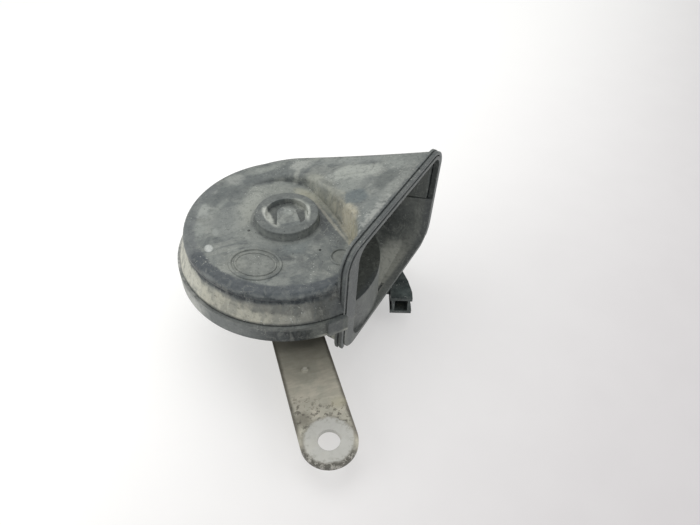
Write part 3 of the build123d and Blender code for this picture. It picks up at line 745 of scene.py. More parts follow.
@dataclass(frozen=True)
class ZincStrip:
    """Worn zinc on a flat strip: brown-grey film, a pale washer print round the hole, and corrosion, with
    painted shadow of the horn and a painted highlight on a pip.
    """

    name: str
    film: Triple = (0.54, 0.51, 0.425)
    dim: Triple = (0.44, 0.43, 0.36)
    deep: Triple = (0.24, 0.232, 0.19)
    zinc: Triple = (0.47, 0.47, 0.44)
    bloom: Triple = (0.43, 0.415, 0.35)
    rust: Triple = (0.075, 0.068, 0.055)
    soot: Triple = (0.075, 0.072, 0.060)
    fleck: Triple = (0.42, 0.41, 0.37)
    roughness: Pair = (0.42, 0.68)
    metallic: float = 0.25
    depth: float = 0.06
    edge: float = 0.3
    corrosion: float = 0.75
    brink_share: float = 0.30
    washer_print: float = 9.4
    hole: float = 4.25
    pad: float = 10.9
    turn: float = 17.7
    belt: Pair = (8.0, 21.0)
    belt_soft: float = 4.0
    # painted shadow of the horn: span in mm from the hole over which the strip darkens
    shade: Pair = (26.0, 60.0)
    end: Pair = (-5.5, -1.0)
    sides: Pair = (-2.0, 4.0)
    cloud: Grain = Grain(95.0, 5.0, 0.6, 0.6)
    rolling: Grain = Grain(240.0, 5.0, 0.65, 0.2, (2.4, 0.5, 1.0), 17.7)
    pitting: Grain = Grain(520.0, 5.0, 0.7)
    wear: Grain = Grain(170.0, 4.0, 0.6)

    def lay_film(self, board: Board, cloud: Socket, grain: Socket) -> None:
        """Lays the film's second tone, the deep tone in the grain, and the deep tone as painted shadow of the
        horn towards it.

        Args:
            board: Board of the material.
            cloud: Broad noise.
            grain: Rolling grain.
        """
        away = board.weigh(board.parts[Axis.Y.value], (cloud, 12.0 * MM))
        board.lay(self.dim, board.span(cloud, 0.38, 0.64))
        board.lay(self.deep, board.span(grain, 0.40, 0.62, 0.35, 0.0))
        # painted shadow of the horn: darker towards the horn
        board.lay(self.deep, board.span(away, self.shade[0] * MM, self.shade[1] * MM))

    def lay_belt(self, board: Board, cloud: Socket, pitting: Socket) -> None:
        """Lays specks of bloom and rust on a belt between the washer print and the horn.

        Args:
            board: Board of the material.
            cloud: Broad noise.
            pitting: Fine noise.
        """
        away = board.weigh(board.parts[Axis.Y.value], (cloud, 10.0 * MM))
        belt = board.window(away, self.belt[0] * MM, self.belt[1] * MM, self.belt_soft * MM)
        board.lay(self.bloom, board.span(pitting, 0.47, 0.62, 0.0, self.corrosion), belt)
        board.lay(self.rust, board.span(pitting, 0.49, 0.40, 0.0, self.corrosion), belt)

    def lay_print(self, board: Board, radius: Socket, rough: Socket, pitting: Socket) -> None:
        """Lays the zinc ring where a washer sat, pitted towards its dark brink.

        Args:
            board: Board of the material.
            radius: Radius from the hole's axis in mm.
            rough: The same radius with a ragged edge.
            pitting: Fine noise.
        """
        ring = board.window(rough, self.hole - 1.0, self.washer_print, 0.8)
        brink = board.window(rough, self.washer_print - 0.1, self.washer_print + 0.8, 0.45)
        board.lay(self.zinc, ring, board.span(board.noise(self.wear), 0.25, 0.55, 0.7, 1.0))
        worn = board.times(ring, board.span(radius, 6.6, 9.0, 0.15, 1.0))
        board.lay(self.deep, board.span(pitting, 0.50, 0.60, 0.0, 0.55), worn)
        board.lay(self.rust, brink, self.brink_share)

    def lay_edges(self, board: Board, rough: Socket, pitting: Socket) -> None:
        """Lays soot with pale flecks on the round end, and rust along both sides.

        Args:
            board: Board of the material.
            rough: Radius from the hole's axis in mm, with a ragged edge.
            pitting: Fine noise.
        """
        away = board.parts[Axis.Y.value]
        end = board.window(rough, self.pad - 1.6, self.pad + 2.0, 0.7)
        end = board.times(end, board.span(away, self.end[0] * MM, self.end[1] * MM, 0.9, 0.0))
        board.lay(self.soot, end)
        board.lay(self.fleck, board.span(pitting, 0.50, 0.58), end)
        across = board.split(board.seat(ORIGIN, (1 / MM, 1 / MM, 1 / MM), self.turn))[Axis.X.value]
        off = board.ragged(board.math("ABSOLUTE", across), 1.4 * MM, 260.0)
        side = board.span(off, (self.pad - 1.7) * MM, (self.pad - 0.2) * MM, 0.0, self.corrosion)
        board.lay(self.rust, side, board.span(away, self.sides[0] * MM, self.sides[1] * MM))

    def marks(self) -> tuple[Mark, ...]:
        """Single stains, painted shadow and a painted highlight on the strip.

        Returns:
            A tan spot, painted shadow over the stretch under the pot, a painted highlight on a pip, and a
            dark spot by the left side.
        """
        return (
            Mark((3.2, 16.0, 2.0), (3.0, 2.2, 3.0), 10.0, (0.46, 0.43, 0.30), 0.40, 0.6, 0.8),
            # painted shadow over the stretch under the pot
            Mark((-12.5, 46.0, 2.0), (14.0, 5.0, 3.0), 17.0, (0.075, 0.074, 0.060), 0.65, 0.6, 0.5),
            # painted highlight on the top of the strip's pip
            Mark((-11.0, 30.6, 2.9), (0.8, 0.8, 1.0), 0.0, (0.60, 0.59, 0.52), 0.8, 0.5, 0.2),
            Mark((-10.5, 8.0, 2.0), (3.2, 3.5, 3.0), 17.0, (0.12, 0.11, 0.085), 0.55, 0.6, 0.8),
        )

    def make(self) -> bpy.types.Material:
        """Builds the material.

        Returns:
            Film with painted shadow of the horn, belt, washer print, dark edges and single stains, one over
            the other.
        """
        board = Board(self.name, self.film)
        cloud, grain, pitting = (board.noise(each) for each in (self.cloud, self.rolling, self.pitting))
        radius = board.vector("LENGTH", board.seat(ORIGIN, (1.0, 1.0, 1 / MM), 0.0))
        rough = board.ragged(radius, 2.6, 330.0)
        self.lay_film(board, cloud, grain)
        self.lay_belt(board, cloud, pitting)
        self.lay_print(board, radius, rough, pitting)
        self.lay_edges(board, rough, pitting)
        board.stain(self.marks())
        board.relief(board.weigh(grain, (pitting, 0.7)), self.depth, self.edge)
        blur = board.weigh(cloud, (pitting, 0.5))
        return board.settle(Roughness=board.span(blur, 0.5, 1.0, *self.roughness), Metallic=self.metallic)


# ---------------------------------------------------------------- meshes

BEAD_STEPS = 144
BEAD_SECTION_STEPS = 12
PAD_STEPS = 96
TURNED_STEPS = 64


def link(piece: bpy.types.Object) -> bpy.types.Object:
    """Puts an object into the scene and gives it back."""
    bpy.context.scene.collection.objects.link(piece)
    return piece


def grid_faces(rows: int, columns: int, closed: bool) -> np.ndarray:
    """Quads of a grid whose columns run round.

    Args:
        rows: Number of rings.
        columns: Number of points on each ring.
        closed: True if the last ring joins the first.

    Returns:
        Corner numbers, four to a face: (i, j), (i, j + 1), (i + 1, j + 1), (i + 1, j).
    """
    last = rows if closed else rows - 1
    i, j = np.meshgrid(np.arange(last), np.arange(columns), indexing="ij")
    below = (i + 1) % rows
    right = (j + 1) % columns
    quads = np.stack([i * columns + j, i * columns + right, below * columns + right, below * columns + j], -1)
    return quads.reshape(-1, 4)


def rings_mesh(name: str, rings: np.ndarray, closed: bool = False) -> bpy.types.Object:
    """Surface through rings of points, with its open ends closed by fans.

    Args:
        name: Name of the piece.
        rings: Points in metres, shaped (rows, columns, 3), each ring counter-clockwise seen from the last.
        closed: True if the last ring joins the first, as on a bead that goes round.

    Returns:
        The linked object, with faces that point outwards and smooth shading.
    """
    rows, columns, _ = rings.shape
    points = rings.reshape(-1, 3)
    faces = grid_faces(rows, columns, closed).tolist()
    if not closed:
        points = np.vstack([points, rings[0].mean(0), rings[-1].mean(0)])
        ring = np.arange(columns)
        after = (ring + 1) % columns
        foot = np.full(columns, rows * columns)
        start = (rows - 1) * columns
        faces += np.stack([after, ring, foot], -1).tolist()
        faces += np.stack([start + ring, start + after, foot + 1], -1).tolist()
    mesh = bpy.data.meshes.new(name)
    mesh.from_pydata(points.tolist(), [], faces)
    mesh.polygons.foreach_set("use_smooth", np.ones(len(mesh.polygons), dtype=bool))
    mesh.update()
    mesh.validate()
    return link(bpy.data.objects.new(name, mesh))


def full_turn(steps: int) -> np.ndarray:
    """Angles of one turn in equal steps, in radians."""
    return np.linspace(0.0, math.tau, steps, endpoint=False)


def superellipse(steps: int, power: float) -> np.ndarray:
    """Unit outline between an ellipse and a rectangle.

    Args:
        steps: Number of points.
        power: 2 for an ellipse, more for a squarer shape.

    Returns:
        Points sign(cos u, sin u) * |cos u, sin u|^(2 / power).
    """
    u = full_turn(steps)
    wave = np.stack([np.cos(u), np.sin(u)], -1)
    return np.sign(wave) * np.abs(wave) ** (2.0 / power)


@dataclass(frozen=True)
class Face:
    """Flat place on the horn that a raised mark lies on, in mm."""

    origin: Triple
    along: Triple
    up: Triple

    def lay(self, local: np.ndarray) -> np.ndarray:
        """Puts local points on the face.

        Args:
            local: Points as (along, across, up) in mm, in the last axis.

        Returns:
            origin + a * along + b * (up x along) + c * up, in metres.
        """
        up = np.array(self.up) / np.linalg.norm(self.up)
        along = np.array(self.along) - up * np.dot(self.along, up)
        along = along / np.linalg.norm(along)
        across = np.cross(up, along)
        return (np.array(self.origin) + local @ np.stack([along, across, up])) * MM


def bead_ring(name: str, face: Face, half: Pair, width: float, height: float) -> bpy.types.Object:
    """Raised half-round line that goes round as an ellipse.

    Args:
        name: Name of the piece.
        face: Place that it lies on.
        half: Half of its size along and across, in mm.
        width: Width of the line in mm.
        height: Height of the line in mm.

    Returns:
        The piece: path(u) = half * (cos u, sin u), with the section (w / 2 * cos v, h * sin v) carried
        along it.
    """
    v = full_turn(BEAD_SECTION_STEPS)
    path = np.array(half) * superellipse(BEAD_STEPS, 2.0)
    tangent = np.roll(path, -1, 0) - np.roll(path, 1, 0)
    tangent = tangent / np.linalg.norm(tangent, axis=1, keepdims=True)
    outward = np.stack([tangent[:, 1], -tangent[:, 0]], -1)
    flat = path[:, None, :] + outward[:, None, :] * (width / 2 * np.cos(v))[None, :, None]
    lift = np.broadcast_to((height * np.sin(v))[None, :, None], (*flat.shape[:2], 1))
    return rings_mesh(name, face.lay(np.concatenate([flat, lift], -1)), closed=True)


@dataclass(frozen=True)
class PadShape:
    """Low pillow with rounded corners, in mm: the size of its foot, its crown, and its soft edge."""

    half: Pair
    height: float = 0.3
    slant: float = 0.35
    power: float = 5.0
    shoulder: float = 1.4
    flat_from: float = 2.4
    sunk: float = 0.2

    def raise_on(self, name: str, face: Face) -> bpy.types.Object:
        """Makes the pad.

        Args:
            name: Name of the piece.
            face: Place that it lies on.

        Returns:
            The piece: rings of one superellipse, drawn in by s and lifted by 3 s^2 - 2 s^3 like a flat
            pillow, with its foot a little sunk and its upper side leaning along by the slant.
        """
        share = np.linspace(0.0, 1.0, 9)
        rise = (1.0 + self.sunk) * (3 * share**2 - 2 * share**3) - self.sunk
        draw = np.concatenate([self.shoulder * share, [self.flat_from, min(self.half) * 0.8]])
        lift = np.concatenate([self.height * rise, [self.height, self.height]])
        size = np.array(self.half)[None, :] - draw[:, None]
        flat = superellipse(PAD_STEPS, self.power)[None, :, :] * size[:, None, :]
        flat[..., 0] += self.slant * flat[..., 1]
        tall = np.broadcast_to(lift[:, None, None], (*flat.shape[:2], 1))
        return rings_mesh(name, face.lay(np.concatenate([flat, tall], -1)))


@dataclass(frozen=True)
class Thread:
    """Screw thread on part of a turned piece, in mm: its ends, its pitch and how it fades out."""

    low: float
    high: float
    pitch: float
    depth_share: float = 0.33
    fade: float = 0.25
    steps: int = 8

    def levels(self) -> np.ndarray:
        """Heights of the rings that the thread needs, some to each turn."""
        return np.arange(self.low, self.high, self.pitch / self.steps)

    def cut(self, z: np.ndarray, t: np.ndarray) -> np.ndarray:
        """Depth of the groove.

        Args:
            z: Heights in mm, one to a ring.
            t: Angles in radians, one to a column.

        Returns:
            depth * |2 * frac(z / pitch - t / tau) - 1|, faded at both ends.
        """
        groove = np.abs(2 * np.mod(z[:, None] / self.pitch - t[None, :] / math.tau, 1.0) - 1)
        inside = np.clip((z - self.low) / self.fade, 0, 1) * np.clip((self.high - z) / self.fade, 0, 1)
        return self.depth_share * self.pitch * groove * inside[:, None]


def turned_piece(name: str, centre: Pair, profile: Sequence[Pair], thread: Thread) -> bpy.types.Object:
    """Turned piece about an upright axis, with a thread on part of it.

    Args:
        name: Name of the piece.
        centre: Axis in mm.
        profile: Radius and height from the lower end up, in mm.
        thread: The thread.

    Returns:
        The piece: r(t, z) = profile(z) - groove(t, z).
    """
    radii, heights = np.array(profile).T
    steps = thread.levels()
    levels = np.concatenate([heights, steps])
    order = np.argsort(levels, kind="stable")
    z = levels[order]
    r = np.concatenate([radii, np.interp(steps, heights, radii)])[order]
    t = full_turn(TURNED_STEPS)
    radius = r[:, None] - thread.cut(z, t)
    tall = np.repeat(z[:, None], t.size, 1)
    ring = np.stack([centre[0] + radius * np.cos(t), centre[1] + radius * np.sin(t), tall], -1)
    return rings_mesh(name, ring * MM)


# ---------------------------------------------------------------- sub-assemblies


def dress(nodes: Sequence[str], material: bpy.types.Material) -> None:
    """Gives CAD nodes a finish.

    Args:
        nodes: Names of the nodes.
        material: Finish for them.
    """
    for name in nodes:
        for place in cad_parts[name].material_slots:
            place.material = material
        LOG.info("%s dressed in %s", name, material.name)


def seat_piece(piece: bpy.types.Object, material: bpy.types.Material) -> bpy.types.Object:
    """Finishes a new piece and lets it ride on the body.

    Args:
        piece: The piece.
        material: Its finish.

    Returns:
        The same piece.
    """
    piece.data.materials.append(material)
    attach(piece, "root")
    LOG.info("%s made with %d faces", piece.name, len(piece.data.polygons))
    return piece


def cos_sin(angle: float) -> Pair:
    """Cosine and sine of an angle in degrees."""
    return math.cos(math.radians(angle)), math.sin(math.radians(angle))


@dataclass
class Trumpet:
    """Both shells of the trumpet, with the bare places and rings moulded on them."""

    face_height: float = 20.4
    roof_height: float = 32.7
    roof_slope: float = 10.3
    mouth_bearing: float = -29.2
    mouth_reach: float = 38.7
    rim_depth: float = 0.9
    rim_height: float = 10.0
    rim_half: Triple = (2.3, 95.0, 95.0)
    wall: Pair = (39.0, 46.0)
    ring_wall: Pair = (41.0, 47.0)
    oval_at: Pair = (-28.6, 45.2)
    oval_half: Pair = (9.6, 7.7)
    oval_inset: float = 1.9
    oval_turn: float = -14.0
    oval_line: Pair = (1.2, 0.60)
    inner_line: Pair = (0.9, 0.42)
    date_at: Pair = (3.1, 49.9)
    date_half: Pair = (4.1, 4.1)
    date_line: Pair = (0.9, 0.50)
    badge_at: Pair = (6.6, 95.0)
    badge_turn: float = 2.0
    badge: PadShape = PadShape((9.0, 3.9))

    @property
    def top(self) -> float:
        """Height of the flat face in mm."""
        return RING_BASE + self.face_height

    def face(self, at: Pair, turn: float) -> Face:
        """Place on the flat face.

        Args:
            at: Place in plan, in mm.
            turn: Turn in plan, in degrees.

        Returns:
            The level face at the height of the flat face.
        """
        return Face((*at, self.top), (*cos_sin(turn), 0.0), (0.0, 0.0, 1.0))

    def roof(self, at: Pair, turn: float) -> Face:
        """Place on the hood's sloping roof.

        Args:
            at: Place in plan, in mm.
            turn: Turn in plan, in degrees.

        Returns:
            The face at height = roof_height + tan(slope) * (distance beyond the mouth's plane).
        """
        out = cos_sin(self.mouth_bearing)
        rise = math.tan(math.radians(self.roof_slope))
        beyond = (at[0] - HORN_X) * out[0] + (at[1] - HORN_Y) * out[1] - self.mouth_reach
        height = RING_BASE + self.roof_height + rise * beyond
        return Face((*at, height), (*cos_sin(turn), 0.0), (-rise * out[0], -rise * out[1], 1.0))

    def rim_dirt(self) -> Mark:
        """Dark rubber-like grime on the rims that meet at the mouth.

        Returns:
            A thin disc on the mouth's plane, wide enough for the whole rim.
        """
        out = cos_sin(self.mouth_bearing)
        reach = self.mouth_reach - self.rim_depth
        centre = (HORN_X + reach * out[0], HORN_Y + reach * out[1], RING_BASE + self.rim_height)
        return Mark(centre, self.rim_half, self.mouth_bearing, (0.070, 0.078, 0.080), 0.72, 0.35, 0.35)

    def face_dirt_and_shade(self) -> tuple[Mark, ...]:
        """Stains and painted shade of the flat face.

        Returns:
            A pale halo round the hub, haze, wiped places, small chips, painted shade along the riser's foot,
            and a painted shadow of the hub's ring to its right.
        """
        return marks_over(
            self.top,
            ((-34.5, 76.0, 0.0), (4.6, 12.5, 3.0), -12.0, (0.355, 0.37, 0.335), 0.80, 0.6, 0.7),
            ((-24.0, 89.0, 0.0), (13.0, 3.6, 3.0), -4.0, (0.30, 0.315, 0.285), 0.65, 0.6, 0.8),
            ((-11.0, 85.5, 0.0), (6.5, 2.8, 3.0), -36.0, (0.36, 0.355, 0.28), 0.75, 0.5, 0.7),
            ((-26.0, 60.5, 0.0), (10.0, 6.0, 3.0), -8.0, (0.265, 0.28, 0.26), 0.60, 0.6, 0.9),
            ((-43.0, 69.0, 0.0), (5.5, 10.0, 3.0), 4.0, (0.205, 0.222, 0.215), 0.55, 0.5, 0.7),
            ((-47.0, 79.0, 0.6), (1.3, 8.0, 3.0), -24.0, (0.31, 0.33, 0.305), 0.70, 0.6, 0.7),
            # painted shade: three dark marks along the foot of the riser, which faces away from the light
            ((-44.5, 85.5, 1.5), (2.0, 8.0, 3.5), -40.0, (0.105, 0.117, 0.117), 0.75, 0.6, 0.8),
            ((-31.0, 94.3, 1.5), (8.0, 1.7, 3.5), 18.0, (0.115, 0.127, 0.126), 0.75, 0.6, 0.8),
            ((-17.0, 95.0, 1.8), (8.5, 1.6, 3.5), -14.0, (0.100, 0.112, 0.110), 0.80, 0.6, 0.8),
            ((-47.2, 52.8, 0.0), (1.6, 2.0, 3.0), 20.0, (0.50, 0.52, 0.50), 1.0, 0.22, 0.25),
            ((-46.2, 61.8, 0.0), (1.1, 1.9, 3.0), 20.0, (0.31, 0.33, 0.31), 0.65, 0.5, 0.6),
            ((-15.0, 56.0, 0.0), (5.5, 5.0, 3.0), 0.0, (0.150, 0.172, 0.172), 0.70, 0.35, 0.5),
            ((-16.8, 48.4, 0.0), (2.4, 1.5, 3.0), 5.0, (0.080, 0.090, 0.090), 0.80, 0.4, 0.5),
            ((-11.6, 46.6, 0.0), (1.7, 2.6, 3.0), 30.0, (0.095, 0.105, 0.105), 0.70, 0.5, 0.8),
            # painted shadow of the hub's ring, cast to its right
            ((-4.8, 69.0, 0.0), (3.0, 7.5, 3.0), 22.0, (0.060, 0.068, 0.072), 0.85, 0.5, 1.1),
            ((0.8, 62.0, 0.0), (3.4, 8.0, 3.0), 20.0, (0.105, 0.118, 0.120), 0.75, 0.5, 1.3, 220.0),
            ((-6.0, 60.5, 0.0), (3.2, 3.2, 3.0), 0.0, (0.095, 0.105, 0.105), 0.65, 0.5, 1.2, 220.0),
            ((-9.0, 43.5, 0.0), (9.0, 3.2, 3.0), 12.0, (0.130, 0.143, 0.140), 0.60, 0.5, 1.2, 220.0),
            ((-38.0, 44.5, 0.0), (4.0, 5.5, 3.0), 20.0, (0.30, 0.31, 0.28), 0.55, 0.6, 1.2, 220.0),
            ((-28.6, 45.6, 0.0), (9.5, 7.5, 3.0), -14.0, (0.255, 0.265, 0.24), 0.50, 0.3, 0.7),
            ((3.1, 49.9, 0.0), (4.0, 4.0, 3.0), 0.0, (0.23, 0.24, 0.215), 0.55, 0.3, 0.8),
        )

    def valley_dirt(self) -> tuple[Mark, ...]:
        """Stains of the valley between the face and the hood's riser.

        Returns:
            Tan dirt that fills it.
        """
        return marks_over(
            self.top,
            ((-8.5, 89.5, 2.5), (8.0, 3.6, 5.0), -42.0, (0.33, 0.34, 0.295), 0.75, 0.6, 1.2, 110.0),
            ((-2.5, 80.0, 3.0), (8.0, 3.4, 8.0), -55.0, (0.29, 0.295, 0.245), 0.80, 0.6, 1.2, 110.0),
            ((2.6, 73.0, 4.0), (7.0, 3.2, 9.0), -66.0, (0.34, 0.33, 0.26), 0.80, 0.6, 1.1, 120.0),
            ((5.6, 65.5, 4.0), (7.0, 2.7, 9.0), -76.0, (0.43, 0.405, 0.315), 0.92, 0.55, 1.0, 120.0),
            ((-2.0, 70.5, 0.3), (0.7, 14.0, 2.0), 30.0, (0.40, 0.39, 0.33), 0.70, 0.5, 0.8),
            ((7.6, 57.0, 3.0), (7.0, 2.0, 7.0), -84.0, (0.36, 0.34, 0.25), 0.85, 0.4, 0.6),
            ((1.6, 76.5, 6.5), (5.0, 1.1, 4.0), -62.0, (0.16, 0.165, 0.145), 0.65, 0.4, 1.0),
            ((-3.6, 86.5, 6.0), (5.5, 1.2, 4.0), -48.0, (0.15, 0.16, 0.145), 0.60, 0.4, 1.0),
        )

    def dark_hood(self) -> tuple[Mark, ...]:
        """Stains of the hood's left end.

        Returns:
            A dark ground with pale blotches.
        """
        return marks_over(
            self.top,
            ((-45.0, 90.0, 3.0), (7.0, 16.0, 9.0), -36.0, (0.135, 0.150, 0.147), 0.55, 0.6, 0.8),
            ((-24.0, 100.0, 4.0), (14.0, 4.5, 9.0), 6.0, (0.130, 0.146, 0.142), 0.60, 0.6, 0.7),
            ((-53.5, 75.0, 0.0), (2.6, 4.0, 9.0), 10.0, (0.34, 0.36, 0.34), 0.75, 0.5, 1.4, 300.0),
            ((-52.8, 63.0, 0.0), (2.2, 4.2, 9.0), 18.0, (0.30, 0.32, 0.30), 0.65, 0.5, 1.4, 300.0),
            ((-51.5, 87.0, 1.0), (1.6, 2.6, 9.0), -20.0, (0.33, 0.345, 0.325), 0.65, 0.5, 1.2, 300.0),
            ((-44.0, 95.5, 3.0), (3.4, 3.6, 9.0), 40.0, (0.32, 0.335, 0.315), 0.75, 0.5, 1.1, 240.0),
            ((-31.5, 103.0, 4.0), (8.0, 2.2, 9.0), 18.0, (0.30, 0.32, 0.295), 0.70, 0.45, 1.0, 240.0),
            ((-16.0, 103.5, 5.0), (4.4, 4.4, 9.0), 0.0, (0.36, 0.375, 0.35), 0.85, 0.4, 0.9),
            ((-17.3, 96.5, 4.0), (1.3, 3.6, 9.0), -12.0, (0.33, 0.345, 0.315), 0.75, 0.5, 0.8),
        )

    def wiped_hood_and_highlight(self) -> tuple[Mark, ...]:
        """Stains and a painted highlight of the hood's right end.

        Returns:
            Wiped bands, a clean place, scuffs by the mouth, and a pale speckled painted highlight along the
            roof's edge there.
        """
        return marks_over(
            self.top,
            ((5.0, 103.0, 8.0), (16.0, 3.0, 7.0), -3.0, (0.28, 0.30, 0.285), 0.70, 0.5, 0.8),
            ((7.0, 93.0, 8.0), (11.0, 5.4, 6.0), 2.0, (0.37, 0.39, 0.36), 0.90, 0.30, 0.7),
            ((5.0, 84.0, 7.5), (5.0, 6.5, 6.0), -24.0, (0.27, 0.29, 0.27), 0.70, 0.4, 0.8),
            ((7.6, 75.0, 9.0), (4.8, 4.6, 6.0), 10.0, (0.135, 0.160, 0.164), 0.95, 0.25, 0.5),
            ((21.5, 86.0, 10.0), (5.0, 9.0, 6.0), -42.0, (0.130, 0.144, 0.138), 0.90, 0.30, 0.6),
            ((24.0, 97.0, 10.0), (5.0, 5.0, 5.0), 10.0, (0.30, 0.32, 0.30), 0.60, 0.5, 0.9),
            ((22.5, 79.0, 11.0), (2.3, 14.0, 6.0), -33.0, (0.30, 0.315, 0.295), 0.70, 0.5, 0.8),
            ((12.5, 66.0, 10.5), (2.6, 9.0, 6.0), -24.0, (0.23, 0.25, 0.24), 0.60, 0.5, 0.9),
            # painted highlight: pale specks along the roof's edge by the mouth
            ((15.0, 62.0, 12.0), (1.8, 10.0, 6.0), -31.0, (0.42, 0.435, 0.41), 0.75, 0.7, 2.6, 620.0),
        )

    def hub_dirt_and_shade(self) -> tuple[Band, ...]:
        """Stains and painted shade of the hub.

        Returns:
            Dark rings with pale dirt packed in the groove, pale dust in front of the ring, and painted shade
            round its back and left edge.
        """
        return (
            Band((19.0, 26.0), (8.9, 13.4), ALL_ROUND, (0.128, 0.140, 0.135), 0.90, 0.3, 0.5),
            Band((21.0, 23.6), (3.3, 8.6), ALL_ROUND, (0.105, 0.115, 0.110), 0.80, 0.3, 0.8),
            Band((20.2, 23.2), (12.5, 15.0), (-170.0, -20.0), (0.215, 0.230, 0.218), 0.75, 0.3, 1.0),
            # painted shade along the ring's outer edge at the back and left
            Band((20.2, 23.8), (12.5, 14.5), (20.0, 200.0), (0.085, 0.094, 0.094), 0.60, 0.4, 1.0),
        )

    def wall_dirt(self) -> tuple[Band, ...]:
        """Stains of the shell's upright wall.

        Returns:
            Tan dirt on the left and middle, darker to the right.
        """
        return bands_at(
            self.wall,
            ((6.0, 17.6), ALL_ROUND, (0.265, 0.265, 0.232), 0.80, 0.6, 1.5),
            ((7.6, 15.8), (-190.0, -128.0), (0.56, 0.555, 0.48), 0.90, 0.8, 3.5),
            ((7.6, 14.8), (-134.0, -90.0), (0.47, 0.46, 0.385), 0.85, 0.7, 4.5),
            ((14.4, 17.8), (-146.0, -112.0), (0.165, 0.175, 0.165), 0.55, 0.8, 4.0),
            ((12.0, 18.0), (-108.0, -64.0), (0.125, 0.130, 0.120), 0.75, 0.8, 6.0),
            ((7.6, 18.0), (-74.0, -30.0), (0.048, 0.051, 0.047), 0.90, 0.8, 3.5),
            ((7.2, 8.4), (-150.0, -55.0), (0.055, 0.060, 0.058), 0.75, 0.4, 1.0),
        )

    def bead_dirt_and_shade(self) -> tuple[Band, ...]:
        """Stains and painted shade of the bead round the face.

        Returns:
            A rubbed ring, and painted shade, near black, under its front edge.
        """
        return (
            Band((17.4, 21.0), (36.2, 46.0), (-215.0, -45.0), (0.145, 0.158, 0.160), 0.75, 0.7, 2.5),
            Band((18.6, 21.0), (36.0, 40.5), (-150.0, -48.0), (0.060, 0.071, 0.080), 0.88, 0.7, 3.5),
            # painted shade: near-black band under the bead's front edge
            Band((15.6, 18.9), (38.0, 46.0), (-150.0, -58.0), (0.018, 0.024, 0.030), 0.97, 0.6, 3.2),
        )

    def throat_shade(self) -> tuple[Mark | Band, ...]:
        """Painted shade on the back wall inside the mouth.

        Returns:
            Painted shade in dark olive, darkest high under the roof, a little lighter by the front.
        """
        return (
            # painted shade under the roof: dark high on the back wall inside the mouth, a little lighter by
            # the front
            Mark((34.0, 101.5, 43.0), (17.0, 4.0, 13.0), 0.0, (0.088, 0.096, 0.088), 0.95, 0.2, 0.3),
            Mark((24.0, 101.0, 40.0), (8.0, 4.0, 12.0), 0.0, (0.060, 0.066, 0.062), 0.80, 0.5, 0.5),
            Band((-14.0, 20.0), (38.0, 50.0), (-63.0, -40.0), (0.100, 0.105, 0.098), 0.80, 0.5, 1.5),
        )

    def hub_smears(self) -> tuple[Mark, ...]:
        """Smears that lie over the drips.

        Returns:
            Pale smears on the hub, and two pits on the face.
        """
        return marks_over(
            self.top,
            ((-10.9, 71.5, 1.8), (1.2, 5.6, 4.0), 6.0, (0.46, 0.48, 0.44), 0.95, 0.35, 0.45),
            ((-14.2, 77.2, 1.8), (3.6, 1.5, 4.0), -34.0, (0.33, 0.345, 0.31), 0.80, 0.4, 0.6),
            ((-26.4, 68.6, 1.8), (1.7, 5.6, 4.0), 24.0, (0.56, 0.575, 0.53), 0.95, 0.35, 0.45),
            ((-23.4, 63.8, 1.8), (1.5, 3.0, 4.0), 40.0, (0.38, 0.395, 0.36), 0.80, 0.4, 0.6),
            ((-18.8, 70.6, 3.6), (1.8, 1.8, 1.4), 0.0, (0.30, 0.32, 0.30), 0.80, 0.4, 0.5),
            ((-33.5, 63.4, 0.0), (0.55, 0.65, 2.0), 0.0, BLACK, 1.0, 0.25, 0.2),
            ((-5.2, 53.4, 0.0), (0.50, 0.60, 2.0), 0.0, BLACK, 1.0, 0.25, 0.2),
        )

    def ring_dirt(self) -> tuple[Band, ...]:
        """Stains of the ring round the drive unit.

        Returns:
            Pale scuffs on the left, near black on the right.
        """
        return bands_at(
            self.ring_wall,
            ((-1.0, 7.8), ALL_ROUND, (0.110, 0.122, 0.124), 0.85, 0.4, 0.8),
            ((-1.0, 7.4), (-200.0, -130.0), (0.55, 0.555, 0.525), 0.85, 0.8, 4.5),
            ((0.5, 6.4), (-130.0, -98.0), (0.200, 0.212, 0.205), 0.55, 0.8, 5.0),
            ((-1.0, 7.0), (-98.0, -50.0), (0.012, 0.016, 0.018), 0.95, 0.7, 3.0),
            ((5.6, 7.8), (-160.0, -56.0), (0.20, 0.21, 0.195), 0.45, 0.5, 2.6, 320.0),
        )

